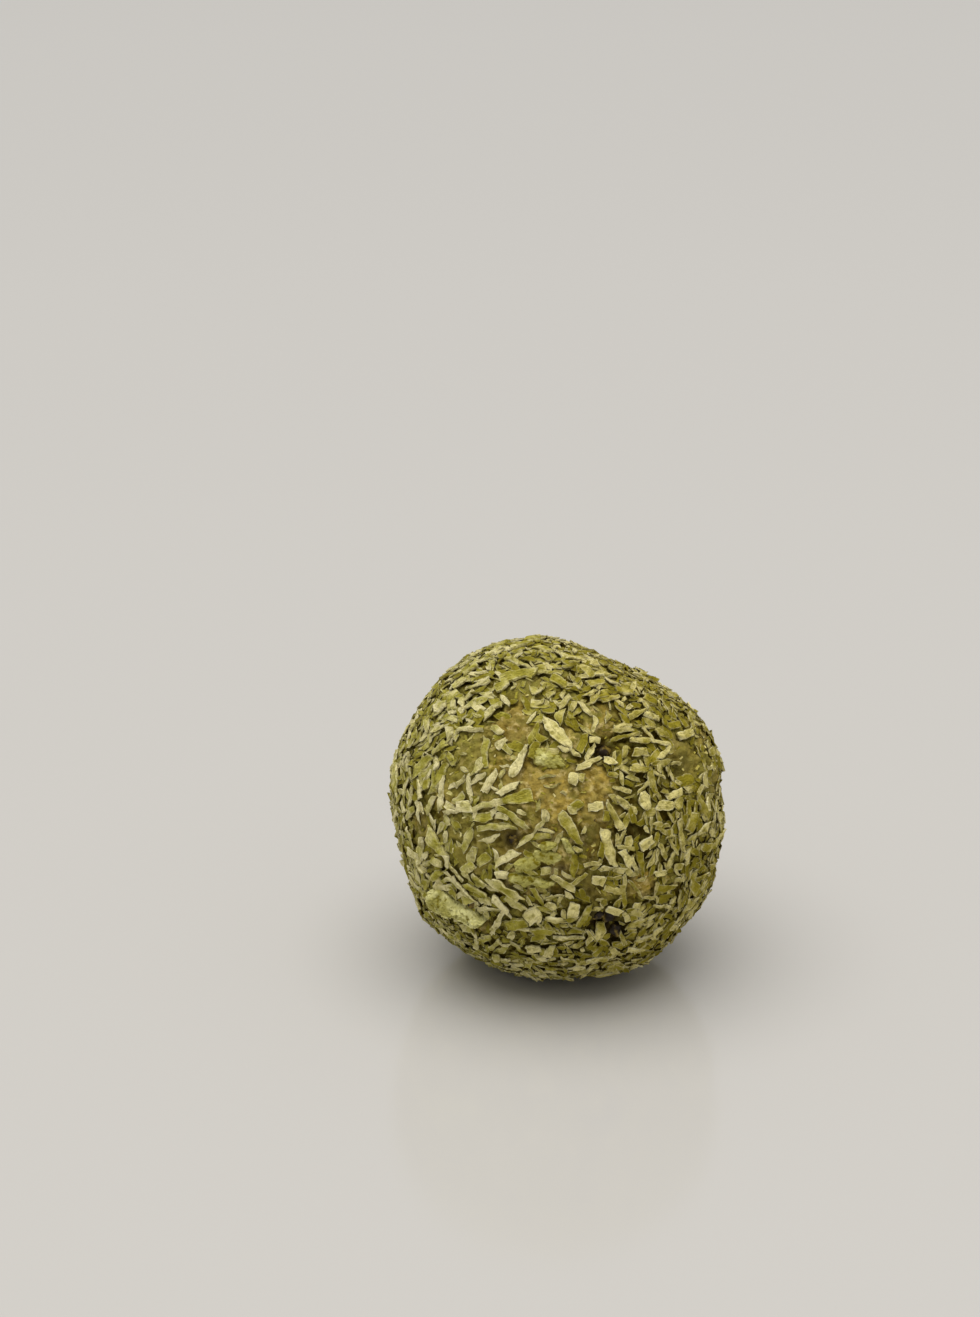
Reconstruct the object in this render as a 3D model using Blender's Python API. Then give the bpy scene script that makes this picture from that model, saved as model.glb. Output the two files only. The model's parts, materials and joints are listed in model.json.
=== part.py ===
"""A protein ball: one hand-rolled ball of date, oat and green tea dough, coated in green desiccated coconut.

Metres, +Z up. The front of the ball faces -Y, +X is to its right, and the origin is the middle of the
small flat foot that it rests on. The coconut flakes are fused to the dough: the piece is one solid.
"""

import math
import random

import bmesh
import bpy
from mathutils import Matrix, Vector

MM = 0.001

# Driving dimensions
DOUGH_RADIUS = 20.7 * MM  # of the dough, before the hand marks and the coat
FOOT_HEIGHT = 19.95 * MM  # from the flat foot up to the ball's centre
CENTRE = Vector((0.15 * MM, 0.35 * MM, FOOT_HEIGHT))
FACE_CUTS = 14  # the dough is a cube blown up to a ball, with this many facets along each of its edges
NORMAL_STEP = 0.02  # in shares of the radius, between the points that a surface direction is read from

# Where the palms and fingers left the ball out of round: the way that each mark faces (azimuth to the
# right of the front, elevation, in degrees), how wide it spreads (degrees) and how far it stands out.
HAND_MARKS = (
    (96, 25, 15, 0.55 * MM),  # right shoulder
    (125, 59, 22, -1.30 * MM),  # flat of a palm behind the top, to the right
    (-121, 57, 24, 1.05 * MM),  # crown, to the left
    (-79, -12, 26, -0.95 * MM),  # flat left side
    (-66, -33, 10, 0.55 * MM),
    (-48, -52, 7, -0.35 * MM),
    (22, -64, 10, -0.80 * MM),  # flattened towards the foot
    (49, -49, 17, 0.95 * MM),  # heel at the lower right
    (91, 3, 10, -1.10 * MM),  # waist of the right side
    (86, -9, 6, -0.40 * MM),
    (77, -27, 8, 0.65 * MM),
    (-94, 12, 12, 0.45 * MM),
    (125, 50, 7, 0.65 * MM),
    (180, 68, 9, 0.45 * MM),
    (58, 28, 7, -0.60 * MM),  # crease on the right of the front
    (74, 26, 9, 0.50 * MM),  # ridge beside that crease
    (14, -8, 24, 0.30 * MM),  # belly
    (175, -5, 30, -0.50 * MM),  # flat back
    (-150, -30, 18, 0.55 * MM),
)

# Pits where a nut or a piece of date fell out, given in the same way.
PITS = (
    (22, 43, 3.5, -0.9 * MM),
    (18, -20, 5.5, -1.5 * MM),
    (-15, 13, 4.0, -0.8 * MM),
    (54, 30, 3.5, -0.7 * MM),
    (150, 12, 4.5, -1.0 * MM),
    (-118, -8, 4.0, -0.8 * MM),
)

# Bits of nut and oat under the skin of the dough: low bumps and dips all over.
BUMP_COUNT = 90
BUMP_SPREAD = (6.0, 12.0)  # degrees
BUMP_HEIGHT = (-0.22 * MM, 0.26 * MM)
BUMP_SEED = 11

# The flakes that stand out on the front. The front is looked down on by VIEW_TILT degrees, from
# EYE_DISTANCE away. Each is at so many millimetres across to the right and up from the ball's middle as
# seen there, with its length and width in millimetres and its turn in degrees, anticlockwise from level.
VIEW_TILT = 24
EYE_DISTANCE = 437.5 * MM
EYE_ROUNDS = 3  # of setting a spot's depth and its place right by each other
LEAST_FACING = 0.5  # a flake near the ball's edge is drawn out as if it faced the eye by this share
LARGE_FLAKES = (
    (-12.0, -12.3, 7.4, 2.4, -24),
    (-3.1, -8.6, 5.6, 1.6, -12),
    (0.3, 9.6, 5.4, 1.6, -47),
    (-6.2, 1.0, 6.6, 1.8, 192),
    (-1.4, -5.7, 4.7, 1.4, -5),
    (-7.2, -2.4, 4.6, 0.8, 2),
    (1.9, -2.6, 4.6, 1.8, -57),
    (-2.9, -2.8, 4.8, 0.8, 48),
    (-4.9, 16.2, 4.5, 1.8, 13),
    (-5.4, -0.9, 4.5, 1.1, -33),
    (-4.6, 5.9, 4.4, 1.4, 63),
    (6.4, -4.6, 4.1, 1.5, -75),
    (11.7, 4.8, 4.1, 1.0, -15),
    (8.1, 9.2, 3.9, 0.9, 15),
    (-6.1, -9.9, 3.9, 1.5, -25),
    (15.4, -3.2, 3.9, 0.9, -78),
    (-9.6, -10.2, 3.4, 1.0, -22),
    (3.7, 5.7, 3.3, 0.8, 28),
    (-6.5, -12.1, 3.1, 1.1, -40),
    (7.3, -1.0, 3.1, 1.0, -55),
    (-8.2, 3.4, 3.0, 1.2, 61),
    (-10.6, 2.4, 3.0, 0.8, -80),
    (16.5, -1.7, 3.0, 1.5, 78),
    (0.8, -8.7, 2.9, 1.0, -30),
    (-10.7, -3.7, 2.8, 1.0, 68),
    (10.6, -6.5, 2.8, 1.0, -80),
    (-16.8, -5.0, 2.6, 1.1, 80),
    (10.9, 1.0, 2.5, 1.9, -70),
    (-4.9, -14.3, 2.5, 1.5, 15),
    (17.0, -9.8, 2.5, 1.5, -60),
    (13.3, 0.6, 2.4, 1.6, 10),
    (5.7, -15.3, 2.3, 1.3, 80),
)

# The rest of the coat, spread evenly, thinner where the dough shows through.
FLAKE_COUNT = 300
FLAKE_LENGTH = (2.0 * MM, 3.5 * MM)
FLAKE_WIDTH = (0.9 * MM, 1.4 * MM)
FLAKE_NUDGE = 0.045  # how far one is moved from its even place at most, in shares of the radius
FLAKE_TILT = 14  # degrees that a flake's tip may lift or dig in
FLAKE_ROLL = 26  # degrees that it may lean to one side
FLAKE_SEED = 5
PROUD = 0.55 * MM  # how far the middle of a flake's face stands off the dough
SUNK = 0.50 * MM  # how deep its underside is pressed in
FLAKE_GAP = 0.62  # a flake keeps this share of two half lengths from a large one
FOOT_CLEAR = 0.9 * MM  # no flake lies lower than this, so the foot stays flat
BARE_PATCHES = (  # azimuth, elevation and spread in degrees
    (-2, 32, 9),
    (14, 31, 8),
    (4, 47, 6),
    (26, 54, 6),
    (-24, 52, 8),
    (-34, 40, 10),
    (-40, 24, 9),
    (-30, 9, 10),
    (-55, 6, 7),
    (14, 19, 5),
    (13, -4, 6),
    (30, -4, 6),
    (62, 32, 8),
    (-140, 20, 9),
    (120, -5, 8),
    (165, 32, 10),
    (-165, 5, 8),
)
# Outlines in shares of a flake's length and width. A large one has a blunt and a pointed end.
LARGE_OUTLINE = ((-0.50, 0.12), (-0.24, 0.50), (0.30, 0.42), (0.50, -0.10), (0.20, -0.50), (-0.34, -0.40))
SMALL_OUTLINE = ((-0.50, 0.34), (0.46, 0.44), (0.50, -0.20), (-0.40, -0.50))
UNEVEN_LENGTH = (0.90, 1.10)  # each corner of a flake is moved by a share between these
UNEVEN_WIDTH = (0.80, 1.15)
FACE_SHARE = 0.80  # a flake's top face against its outline

COAT_COLOUR = (0.28, 0.24, 0.075)
COAT_ROUGHNESS = 0.8
SHARP_ANGLE = 35  # degrees between two faces, from which their edge is drawn crisp
CUT_SLACK = 0.001 * MM  # a point this near the floor counts as on it
LEAST_EDGE = 0.002 * MM  # shorter edges are closed up


def facing(azimuth, elevation):
    """The unit vector for an azimuth to the right of the front and an elevation, in degrees."""
    a = math.radians(azimuth)
    e = math.radians(elevation)
    return Vector((math.sin(a) * math.cos(e), -math.cos(a) * math.cos(e), math.sin(e)))


def bumps():
    """The bumps and dips of the dough, as marks in the form of HAND_MARKS."""
    draw = random.Random(BUMP_SEED)
    made = []
    for _ in range(BUMP_COUNT):
        elevation = math.degrees(math.asin(draw.uniform(-1, 1)))
        made.append((draw.uniform(-180, 180), elevation, draw.uniform(*BUMP_SPREAD), draw.uniform(*BUMP_HEIGHT)))
    return made


def dents():
    """Every mark on the dough as (the way it faces, its narrowness, its height)."""
    marks = [*HAND_MARKS, *PITS, *bumps()]
    return [(facing(a, e), 1 / (1 - math.cos(math.radians(spread))), high) for a, e, spread, high in marks]


DENTS = dents()


def dough_radius(way):
    """How far the dough reaches from the ball's centre, along a unit vector."""
    return DOUGH_RADIUS + sum(high * math.exp((way.dot(at) - 1) * narrow) for at, narrow, high in DENTS)


def dough_point(way):
    return CENTRE + way * dough_radius(way)


def dough_normal(way):
    """The way out of the dough's surface, from three points close together on it."""
    across = way.orthogonal().normalized()
    along = way.cross(across)
    at = dough_point(way)
    one = dough_point((way + across * NORMAL_STEP).normalized()) - at
    two = dough_point((way + along * NORMAL_STEP).normalized()) - at
    return one.cross(two).normalized()


def new_material(name, colour, roughness):
    material = bpy.data.materials.new(name)
    material.use_nodes = True
    shader = material.node_tree.nodes["Principled BSDF"]
    shader.inputs["Base Color"].default_value = (*colour, 1.0)
    shader.inputs["Roughness"].default_value = roughness
    shader.inputs["Metallic"].default_value = 0.0
    return material


def new_object(name, form):
    mesh = bpy.data.meshes.new(name)
    form.to_mesh(mesh)
    form.free()
    made = bpy.data.objects.new(name, mesh)
    bpy.context.scene.collection.objects.link(made)
    return made


def make_dough(name):
    """The dough as a finely cut cube, blown up to the ball's own uneven form."""
    form = bmesh.new()
    bmesh.ops.create_cube(form, size=2.0)
    bmesh.ops.subdivide_edges(form, edges=form.edges[:], cuts=FACE_CUTS - 1, use_grid_fill=True)
    for corner in form.verts:
        # the tangent keeps the facets near a cube's corner as large as those in the middle of its sides
        even = Vector([math.tan(share * math.pi / 4) for share in corner.co])
        corner.co = dough_point(even.normalized())
    bmesh.ops.triangulate(form, faces=form.faces[:])
    return new_object(name, form)


def make_flake(name, way, length, width, turn, corners, draw):
    """One flake of coconut: a chip with slanted sides, half sunk in the dough and leaning a little."""
    normal = dough_normal(way)
    along = (turn - normal * turn.dot(normal)).normalized()
    across = normal.cross(along)
    calm = min(1.0, FLAKE_LENGTH[1] / length)  # a long flake lies flatter
    tilt = math.radians(draw.uniform(-FLAKE_TILT, FLAKE_TILT)) * calm
    roll = math.radians(draw.uniform(-FLAKE_ROLL, FLAKE_ROLL)) * calm
    lean = Matrix.Rotation(roll, 3, along) @ Matrix.Rotation(tilt, 3, across)
    along, across, normal = lean @ along, lean @ across, lean @ normal
    form = bmesh.new()
    rings = []
    outline = [(u * draw.uniform(*UNEVEN_LENGTH), v * draw.uniform(*UNEVEN_WIDTH)) for u, v in corners]
    for height, share in ((-SUNK, 1.0), (PROUD, FACE_SHARE)):
        rings.append(
            [
                form.verts.new(
                    dough_point(way) + along * (u * length * share) + across * (v * width * share) + normal * height
                )
                for u, v in outline
            ]
        )
    low, top = rings
    form.faces.new(top)
    form.faces.new(low[::-1])
    for i in range(len(outline)):
        j = (i + 1) % len(outline)
        form.faces.new((low[i], low[j], top[j], top[i]))
    bmesh.ops.recalc_face_normals(form, faces=form.faces[:])
    bmesh.ops.triangulate(form, faces=form.faces[:])
    return new_object(name, form)


def front_axes():
    """The directions to the right, up and towards the eye, as the front is looked down on."""
    tilt = math.radians(VIEW_TILT)
    return (
        Vector((1, 0, 0)),
        Vector((0, math.sin(tilt), math.cos(tilt))),
        Vector((0, -math.cos(tilt), math.sin(tilt))),
    )


def way_seen_at(across, up):
    """The unit vector to the spot on the ball that shows so far across and up from the ball's middle."""
    axes = front_axes()
    depth = 0.0
    for _ in range(EYE_ROUNDS):
        # a spot nearer the eye shows larger, so it lies closer in than it looks
        closer = 1 - depth / EYE_DISTANCE
        x, y = across * closer, up * closer
        depth = math.sqrt(max(0.0, DOUGH_RADIUS**2 - x * x - y * y))
    return (axes[0] * x + axes[1] * y + axes[2] * depth).normalized()


def large_flakes():
    """The flakes of the front as (way, length, width, turn), laid on the ball where the view shows them."""
    right, up, near = front_axes()
    placed = []
    for x, y, length, width, degrees in LARGE_FLAKES:
        way = way_seen_at(x * MM, y * MM)
        seen = right * math.cos(math.radians(degrees)) + up * math.sin(math.radians(degrees))
        # leans the flake's length into the surface, so that the view still shows it at that turn
        lean = -seen.dot(way) / max(LEAST_FACING, near.dot(way))
        turn = seen + near * lean
        placed.append((way, length * MM * turn.length, width * MM, turn.normalized()))
    return placed


def is_bare(way):
    return any(way.angle(facing(a, e)) < math.radians(spread) for a, e, spread in BARE_PATCHES)


def small_flakes(taken, draw):
    """Evenly spread flakes in a spiral from the foot to the crown, each as (way, length, width, turn)."""
    golden = math.pi * (3 - math.sqrt(5))
    placed = []
    for i in range(FLAKE_COUNT):
        level = -1 + 2 * (i + 0.5) / FLAKE_COUNT
        ring = math.sqrt(1 - level * level)
        way = Vector((ring * math.cos(golden * i), ring * math.sin(golden * i), level))
        nudge = Vector([draw.uniform(-FLAKE_NUDGE, FLAKE_NUDGE) for _ in range(3)])
        way = (way + nudge).normalized()
        length = draw.uniform(*FLAKE_LENGTH)
        width = draw.uniform(*FLAKE_WIDTH)
        turn = Vector([draw.gauss(0, 1) for _ in range(3)])
        crowded = any(
            way.angle(other) * DOUGH_RADIUS < FLAKE_GAP * (length + long) / 2 for other, long, _, _ in taken
        )
        if crowded or is_bare(way):
            continue
        placed.append((way, length, width, turn))
    return placed


def make_coat():
    """Every flake as its own closed chip, in one collection."""
    draw = random.Random(FLAKE_SEED)
    coat = bpy.data.collections.new("coat")
    large = large_flakes()
    flakes = [(*flake, LARGE_OUTLINE) for flake in large]
    flakes += [(*flake, SMALL_OUTLINE) for flake in small_flakes(large, draw)]
    for i, (way, length, width, turn, corners) in enumerate(flakes):
        if dough_point(way).z < FOOT_CLEAR:
            continue
        chip = make_flake(f"flake_{i:03d}", way, length, width, turn, corners, draw)
        coat.objects.link(chip)
        bpy.context.scene.collection.objects.unlink(chip)
    return coat


def fuse(ball, coat):
    """Joins every flake to the dough in one union, then takes the flakes away."""
    union = ball.modifiers.new("coat", "BOOLEAN")
    union.operation = "UNION"
    union.operand_type = "COLLECTION"
    union.collection = coat
    union.solver = "EXACT"
    bpy.context.view_layer.update()
    fused = bpy.data.meshes.new_from_object(ball.evaluated_get(bpy.context.evaluated_depsgraph_get()))
    ball.modifiers.remove(union)
    ball.data = fused
    for chip in list(coat.objects):
        bpy.data.objects.remove(chip)
    bpy.data.collections.remove(coat)


def keep_whole(form):
    """Drops loose scraps, and fills hollows that the union sealed, by keeping the outer surface alone."""
    form.faces.ensure_lookup_table()
    islands = []
    seen = set()
    for start in form.faces:
        if start.index in seen:
            continue
        island = []
        todo = [start]
        seen.add(start.index)
        while todo:
            face = todo.pop()
            island.append(face)
            for edge in face.edges:
                for other in edge.link_faces:
                    if other.index not in seen:
                        seen.add(other.index)
                        todo.append(other)
        islands.append(island)
    islands.sort(key=len)
    for island in islands[:-1]:
        bmesh.ops.delete(form, geom=island, context="FACES")


def cut_foot(form):
    """Cuts the ball level at z = 0 and closes it with one flat face, the foot that it rests on."""
    cut = bmesh.ops.bisect_plane(
        form,
        geom=form.verts[:] + form.edges[:] + form.faces[:],
        dist=CUT_SLACK,
        plane_co=(0, 0, 0),
        plane_no=(0, 0, -1),
        clear_outer=True,
    )
    rim = [edge for edge in cut["geom_cut"] if isinstance(edge, bmesh.types.BMEdge)]
    bmesh.ops.holes_fill(form, edges=rim, sides=0)


def finish(ball):
    form = bmesh.new()
    form.from_mesh(ball.data)
    keep_whole(form)
    cut_foot(form)
    bmesh.ops.dissolve_degenerate(form, dist=LEAST_EDGE, edges=form.edges[:])
    bmesh.ops.triangulate(form, faces=form.faces[:])
    form.to_mesh(ball.data)
    form.free()
    ball.data.set_sharp_from_angle(angle=math.radians(SHARP_ANGLE))


def main():
    for old in list(bpy.data.objects):
        bpy.data.objects.remove(old)
    ball = make_dough("protein_ball")
    fuse(ball, make_coat())
    finish(ball)
    ball.data.materials.clear()
    ball.data.materials.append(new_material("green_coconut_coat", COAT_COLOUR, COAT_ROUGHNESS))


main()
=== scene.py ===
"""The looks of a protein ball: sticky date and nut dough, rolled in green desiccated coconut."""

import json
import math
import random

import bmesh
import bpy
import numpy as np
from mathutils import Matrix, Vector, noise

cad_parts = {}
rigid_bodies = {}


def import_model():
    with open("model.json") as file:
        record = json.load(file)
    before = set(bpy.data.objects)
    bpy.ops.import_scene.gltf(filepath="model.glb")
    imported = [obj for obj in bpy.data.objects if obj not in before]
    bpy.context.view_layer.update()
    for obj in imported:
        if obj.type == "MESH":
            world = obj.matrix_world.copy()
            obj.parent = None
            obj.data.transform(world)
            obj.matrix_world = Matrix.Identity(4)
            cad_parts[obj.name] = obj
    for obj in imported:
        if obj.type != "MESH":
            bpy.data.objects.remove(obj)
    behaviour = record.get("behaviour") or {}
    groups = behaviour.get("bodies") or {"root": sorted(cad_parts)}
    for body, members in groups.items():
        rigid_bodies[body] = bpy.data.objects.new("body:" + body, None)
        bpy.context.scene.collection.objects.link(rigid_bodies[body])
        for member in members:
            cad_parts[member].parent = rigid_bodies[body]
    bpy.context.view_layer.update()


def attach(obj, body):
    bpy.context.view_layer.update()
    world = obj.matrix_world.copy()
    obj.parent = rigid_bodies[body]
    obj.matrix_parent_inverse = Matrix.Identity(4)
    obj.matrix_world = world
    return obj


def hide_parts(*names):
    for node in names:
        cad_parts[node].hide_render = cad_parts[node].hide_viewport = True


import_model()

# The view. The photo looks down on the front of the ball by 24 degrees through a long lens from under
# half a metre away, with the ball a little to the right of the frame's middle and well below it.
MM = 0.001
BALL_CENTRE = Vector((0.15, 0.35, 19.95)) * MM
LOOK_DOWN = math.radians(24)
EYE_DISTANCE = 437.5 * MM
BALL_RIGHT_OF_MIDDLE = 8.4 * MM
BALL_BELOW_MIDDLE = 18.8 * MM
FOCAL_LENGTH = 95.7  # millimetres
SENSOR = 36  # millimetres along the frame's long side
CLIP = (0.01, 20)  # metres

to_eye = Vector((0, -math.cos(LOOK_DOWN), math.sin(LOOK_DOWN)))
up_in_view = Vector((0, math.sin(LOOK_DOWN), math.cos(LOOK_DOWN)))
right_in_view = Vector((1, 0, 0))
frame_middle = BALL_CENTRE - right_in_view * BALL_RIGHT_OF_MIDDLE + up_in_view * BALL_BELOW_MIDDLE


def new_object(name, data):
    """An object in the scene, at the origin."""
    made = bpy.data.objects.new(name, data)
    bpy.context.scene.collection.objects.link(made)
    return made


eye = new_object("eye", bpy.data.cameras.new("eye"))
eye.data.lens = FOCAL_LENGTH
eye.data.sensor_width = SENSOR
eye.data.clip_start, eye.data.clip_end = CLIP
eye.location = BALL_CENTRE + to_eye * EYE_DISTANCE
eye.rotation_mode = "QUATERNION"
eye.rotation_quaternion = (frame_middle - eye.location).to_track_quat("-Z", "Y")
bpy.context.scene.camera = eye


# The floor. One wide, pale surface with a light gloss, a hair below the ball, so that the ball stands in
# its own faint reflection.
def add(tree, kind, inputs=None, **settings):
    """A new node, with each input set to a value or joined to another node's output."""
    made = tree.nodes.new(kind)
    for name, value in settings.items():
        setattr(made, name, value)
    for key, value in (inputs or {}).items():
        if isinstance(value, bpy.types.NodeSocket):
            tree.links.new(value, made.inputs[key])
        else:
            made.inputs[key].default_value = value
    return made


def new_finish(name, shine, roughness=0.5):
    """A Principled material, as (material, its node tree, its shader)."""
    material = bpy.data.materials.new(name)
    material.use_nodes = True
    shader = material.node_tree.nodes["Principled BSDF"]
    shader.inputs["Specular IOR Level"].default_value = shine
    shader.inputs["Roughness"].default_value = roughness
    return material, material.node_tree, shader


def mesh_of(form, name):
    """The mesh that a bmesh makes; the bmesh is then freed."""
    mesh = bpy.data.meshes.new(name)
    form.to_mesh(mesh)
    form.free()
    return mesh


FLOOR_SIZE = 6.0
FLOOR_COLOUR = (0.605, 0.59, 0.563, 1)
FLOOR_LEVEL = -0.02 * MM

form = bmesh.new()
bmesh.ops.create_grid(form, x_segments=2, y_segments=2, size=FLOOR_SIZE / 2)
bmesh.ops.translate(form, verts=form.verts[:], vec=(0, 0, FLOOR_LEVEL))
floor = new_object("floor", mesh_of(form, "floor"))
glaze, _, shader = new_finish("pale_glaze", shine=0.5, roughness=0.14)
shader.inputs["Base Color"].default_value = FLOOR_COLOUR
floor.data.materials.append(glaze)


# The light. One broad soft lamp nearly overhead, a little to the left, and a pale room all round that fills
# the shadows. The colours are shown as they are, with no film look over them.
ROOM_COLOUR = (0.92, 0.91, 0.89, 1)
ROOM_STRENGTH = 0.46
LAMP_COLOUR = (1.0, 0.98, 0.95)
LAMP_STRENGTH = 2.20
LAMP_WIDTH = math.radians(70)
LAMP_WAY = Vector((0.10, 0.06, -1.0))

bpy.context.scene.view_settings.view_transform = "Standard"
room = bpy.data.worlds.new("room")
room.use_nodes = True
sky = room.node_tree.nodes["Background"]
sky.inputs["Color"].default_value = ROOM_COLOUR
sky.inputs["Strength"].default_value = ROOM_STRENGTH
bpy.context.scene.world = room

lamp = new_object("soft_lamp", bpy.data.lights.new("soft_lamp", "SUN"))
lamp.data.energy = LAMP_STRENGTH
lamp.data.angle = LAMP_WIDTH
lamp.data.color = LAMP_COLOUR
lamp.rotation_mode = "QUATERNION"
lamp.rotation_quaternion = LAMP_WAY.to_track_quat("-Z", "Y")


# The dough. Dates, nuts and oats ground together and rolled between two palms: out of round, dented and
# lumpy, with a crease and pits where bits fell out. Olive brown, and a little moist where it lies bare.
DOUGH_RADIUS = 20.7 * MM
HAND_MARKS = (  # azimuth to the right of the front, elevation, spread in degrees, height
    (96, 25, 15, 0.55 * MM),
    (125, 59, 22, -1.30 * MM),
    (-121, 57, 24, 1.05 * MM),
    (-79, -12, 26, -0.95 * MM),
    (-66, -33, 10, 0.55 * MM),
    (-48, -52, 7, -0.35 * MM),
    (22, -64, 10, -0.80 * MM),
    (49, -49, 17, 0.95 * MM),
    (91, 3, 10, -1.10 * MM),
    (86, -9, 6, -0.40 * MM),
    (77, -27, 8, 0.65 * MM),
    (-94, 12, 12, 0.45 * MM),
    (125, 50, 7, 0.65 * MM),
    (180, 68, 9, 0.45 * MM),
    (58, 28, 7, -0.60 * MM),
    (74, 26, 9, 0.50 * MM),
    (14, -8, 24, 0.30 * MM),
    (175, -5, 30, -0.50 * MM),
    (-150, -30, 18, 0.55 * MM),
)
PITS = (  # the same
    (22, 43, 3.5, -0.9 * MM),
    (18, -20, 5.5, -1.5 * MM),
    (-15, 13, 4.0, -0.8 * MM),
    (54, 30, 3.5, -0.7 * MM),
    (150, 12, 4.5, -1.0 * MM),
    (-118, -8, 4.0, -0.8 * MM),
)
BUMP_COUNT = 90
BUMP_SPREAD = (6.0, 12.0)
BUMP_HEIGHT = (-0.22 * MM, 0.26 * MM)
BUMP_SEED = 11
FACETS = 126  # along each edge of the cube that is blown up to the ball
PLACE_FADE = 0.4  # how far a place below fades in and out round its edge, as a share of its spread
BARE_PATCHES = (  # azimuth, elevation and spread of the places that the coconut leaves thin, and how bare
    (-2, 32, 9, 1.0),
    (-10, 32, 4, 1.0),
    (14, 31, 8, 1.0),
    (4, 47, 6, 0.9),
    (26, 54, 6, 0.9),
    (-24, 52, 8, 0.95),
    (-34, 40, 10, 0.95),
    (-40, 24, 9, 0.9),
    (-30, 9, 10, 0.9),
    (-42, 3, 6, 0.85),
    (-55, 6, 7, 0.9),
    (14, 19, 5, 1.0),
    (13, -4, 6, 0.9),
    (30, -4, 6, 0.9),
    (41, -8, 5, 0.8),
    (-24, 69, 7, 0.7),
    (62, 32, 8, 0.9),
    (-8, 22, 30, 0.65),
    (80, 24, 14, 0.6),
    (-27, -22, 4, 0.9),
    (-140, 20, 9, 1.0),
    (120, -5, 8, 0.9),
    (165, 32, 10, 0.95),
    (-165, 5, 8, 0.9),
    (172, 14, 30, 0.65),
)
DARK_PLACES = (  # azimuth, elevation, spread and how dark: the pits, where brown date shows, and painted shade in hollows, in the crease and under the clumps
    (22, 43, 3.2, 1.0),
    (18, -19, 6.0, 1.0),
    (23, -26, 3.6, 0.9),
    (14, -15, 2.6, 0.8),
    (22, -23, 3.4, 0.9),
    (-15, 13, 3.8, 0.9),
    (-26, 50, 8.0, 0.28),
    (-8, 51, 6.0, 0.25),
    (-8, 29, 6.0, 0.15),
    (-18, 28, 4.0, 0.20),
    (7, 40, 5.0, 0.20),
    (11, 12, 5.0, 0.30),
    (-10, 10, 3.5, 0.35),
    (44, 57, 5.0, 0.25),
    (72, 55, 9.0, 0.30),
    (59, 30, 4.5, 0.45),
    (53, 28, 4.5, 0.45),
    (-54, 9, 4.0, 0.30),
    (15, 17, 4.0, 0.35),
    (11, -4, 5.0, 0.35),
    (28, 15, 5.0, 0.55),
    (41, 2, 4.0, 0.30),
    (6, -34, 5.0, 0.40),
    (-27, -22, 5.0, 0.45),
    (-3, 4, 2.0, 0.65),
    (2, 5, 1.6, 0.60),
    (-11, 1, 1.8, 0.65),
    (-30, -13, 2.0, 0.90),
    (9, 14, 1.6, 0.45),
    (-47, -28, 2.4, 0.60),
    (-52, -24, 2.2, 0.60),
    (150, 12, 3.6, 1.0),
    (-118, -8, 3.2, 1.0),
    (-165, 32, 4.5, 0.40),
)
OLIVE_PLACES = (  # azimuth, elevation, spread and share: bare dough that is still green with tea
    (-30, 9, 12, 0.80),
    (-42, 3, 9, 0.80),
    (-45, 35, 16, 0.75),
    (13, -4, 8, 0.60),
    (66, 28, 13, 0.90),
    (-24, 69, 8, 0.70),
    (-70, 20, 20, 0.50),
    (120, -5, 10, 0.70),
    (-165, 5, 12, 0.70),
)
AMBER_PLACES = (  # azimuth, elevation, spread and share: where the dates shine through, light orange brown
    (0, 29, 9, 0.65),
    (15, 31, 8, 0.80),
    (-16, 60, 6, 0.60),
    (-26, 53, 7, 0.35),
    (35, 55, 6, 0.55),
    (30, -5, 7, 0.70),
    (70, 5, 50, 0.20),
    (175, 25, 12, 0.50),
)


def facing(azimuth, elevation):
    """The unit vector that points so far to the right of the front and so far up, in degrees."""
    a = math.radians(azimuth)
    e = math.radians(elevation)
    return Vector((math.sin(a) * math.cos(e), -math.cos(a) * math.cos(e), math.sin(e)))


def dents():
    """Every mark, pit and bump as (way, narrowness, height)."""
    draw = random.Random(BUMP_SEED)
    bumps = []
    for _ in range(BUMP_COUNT):
        elevation = math.degrees(math.asin(draw.uniform(-1, 1)))
        azimuth = draw.uniform(-180, 180)
        bumps.append((azimuth, elevation, draw.uniform(*BUMP_SPREAD), draw.uniform(*BUMP_HEIGHT)))
    marks = [*HAND_MARKS, *PITS, *bumps]
    return [(facing(a, e), 1 / (1 - math.cos(math.radians(spread))), high) for a, e, spread, high in marks]


DENTS = dents()


def dough_radius(ways):
    """How far the dough reaches from the ball's centre, for an array of unit vectors."""
    reach = np.full(len(ways), DOUGH_RADIUS)
    for at, narrow, high in DENTS:
        reach += high * np.exp((ways @ np.array(at) - 1) * narrow)
    return reach


def blown_up_cube():
    """An even mesh of the dough, and the way from the ball's centre to each of its points."""
    form = bmesh.new()
    bmesh.ops.create_cube(form, size=2.0)
    bmesh.ops.subdivide_edges(form, edges=form.edges[:], cuts=FACETS - 1, use_grid_fill=True)
    mesh = mesh_of(form, "dough")
    corners = np.empty(len(mesh.vertices) * 3)
    mesh.vertices.foreach_get("co", corners)
    even = np.tan(corners.reshape(-1, 3) * math.pi / 4)
    ways = even / np.linalg.norm(even, axis=1)[:, None]
    points = ways * dough_radius(ways)[:, None] + np.array(BALL_CENTRE)
    mesh.vertices.foreach_set("co", points.ravel())
    return mesh, ways


def mark_places(mesh, name, ways, places):
    """Writes each point's share of the given places: full inside one, and fading to 0 past its edge."""
    near = np.zeros(len(ways))
    for azimuth, elevation, spread, share in places:
        angle = np.degrees(np.arccos(np.clip(ways @ np.array(facing(azimuth, elevation)), -1, 1)))
        inside = np.clip((spread * (1 + PLACE_FADE) - angle) / (spread * 2 * PLACE_FADE), 0, 1)
        near = np.maximum(near, share * inside)
    mesh.attributes.new(name, "FLOAT", "POINT").data.foreach_set("value", near)


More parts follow.
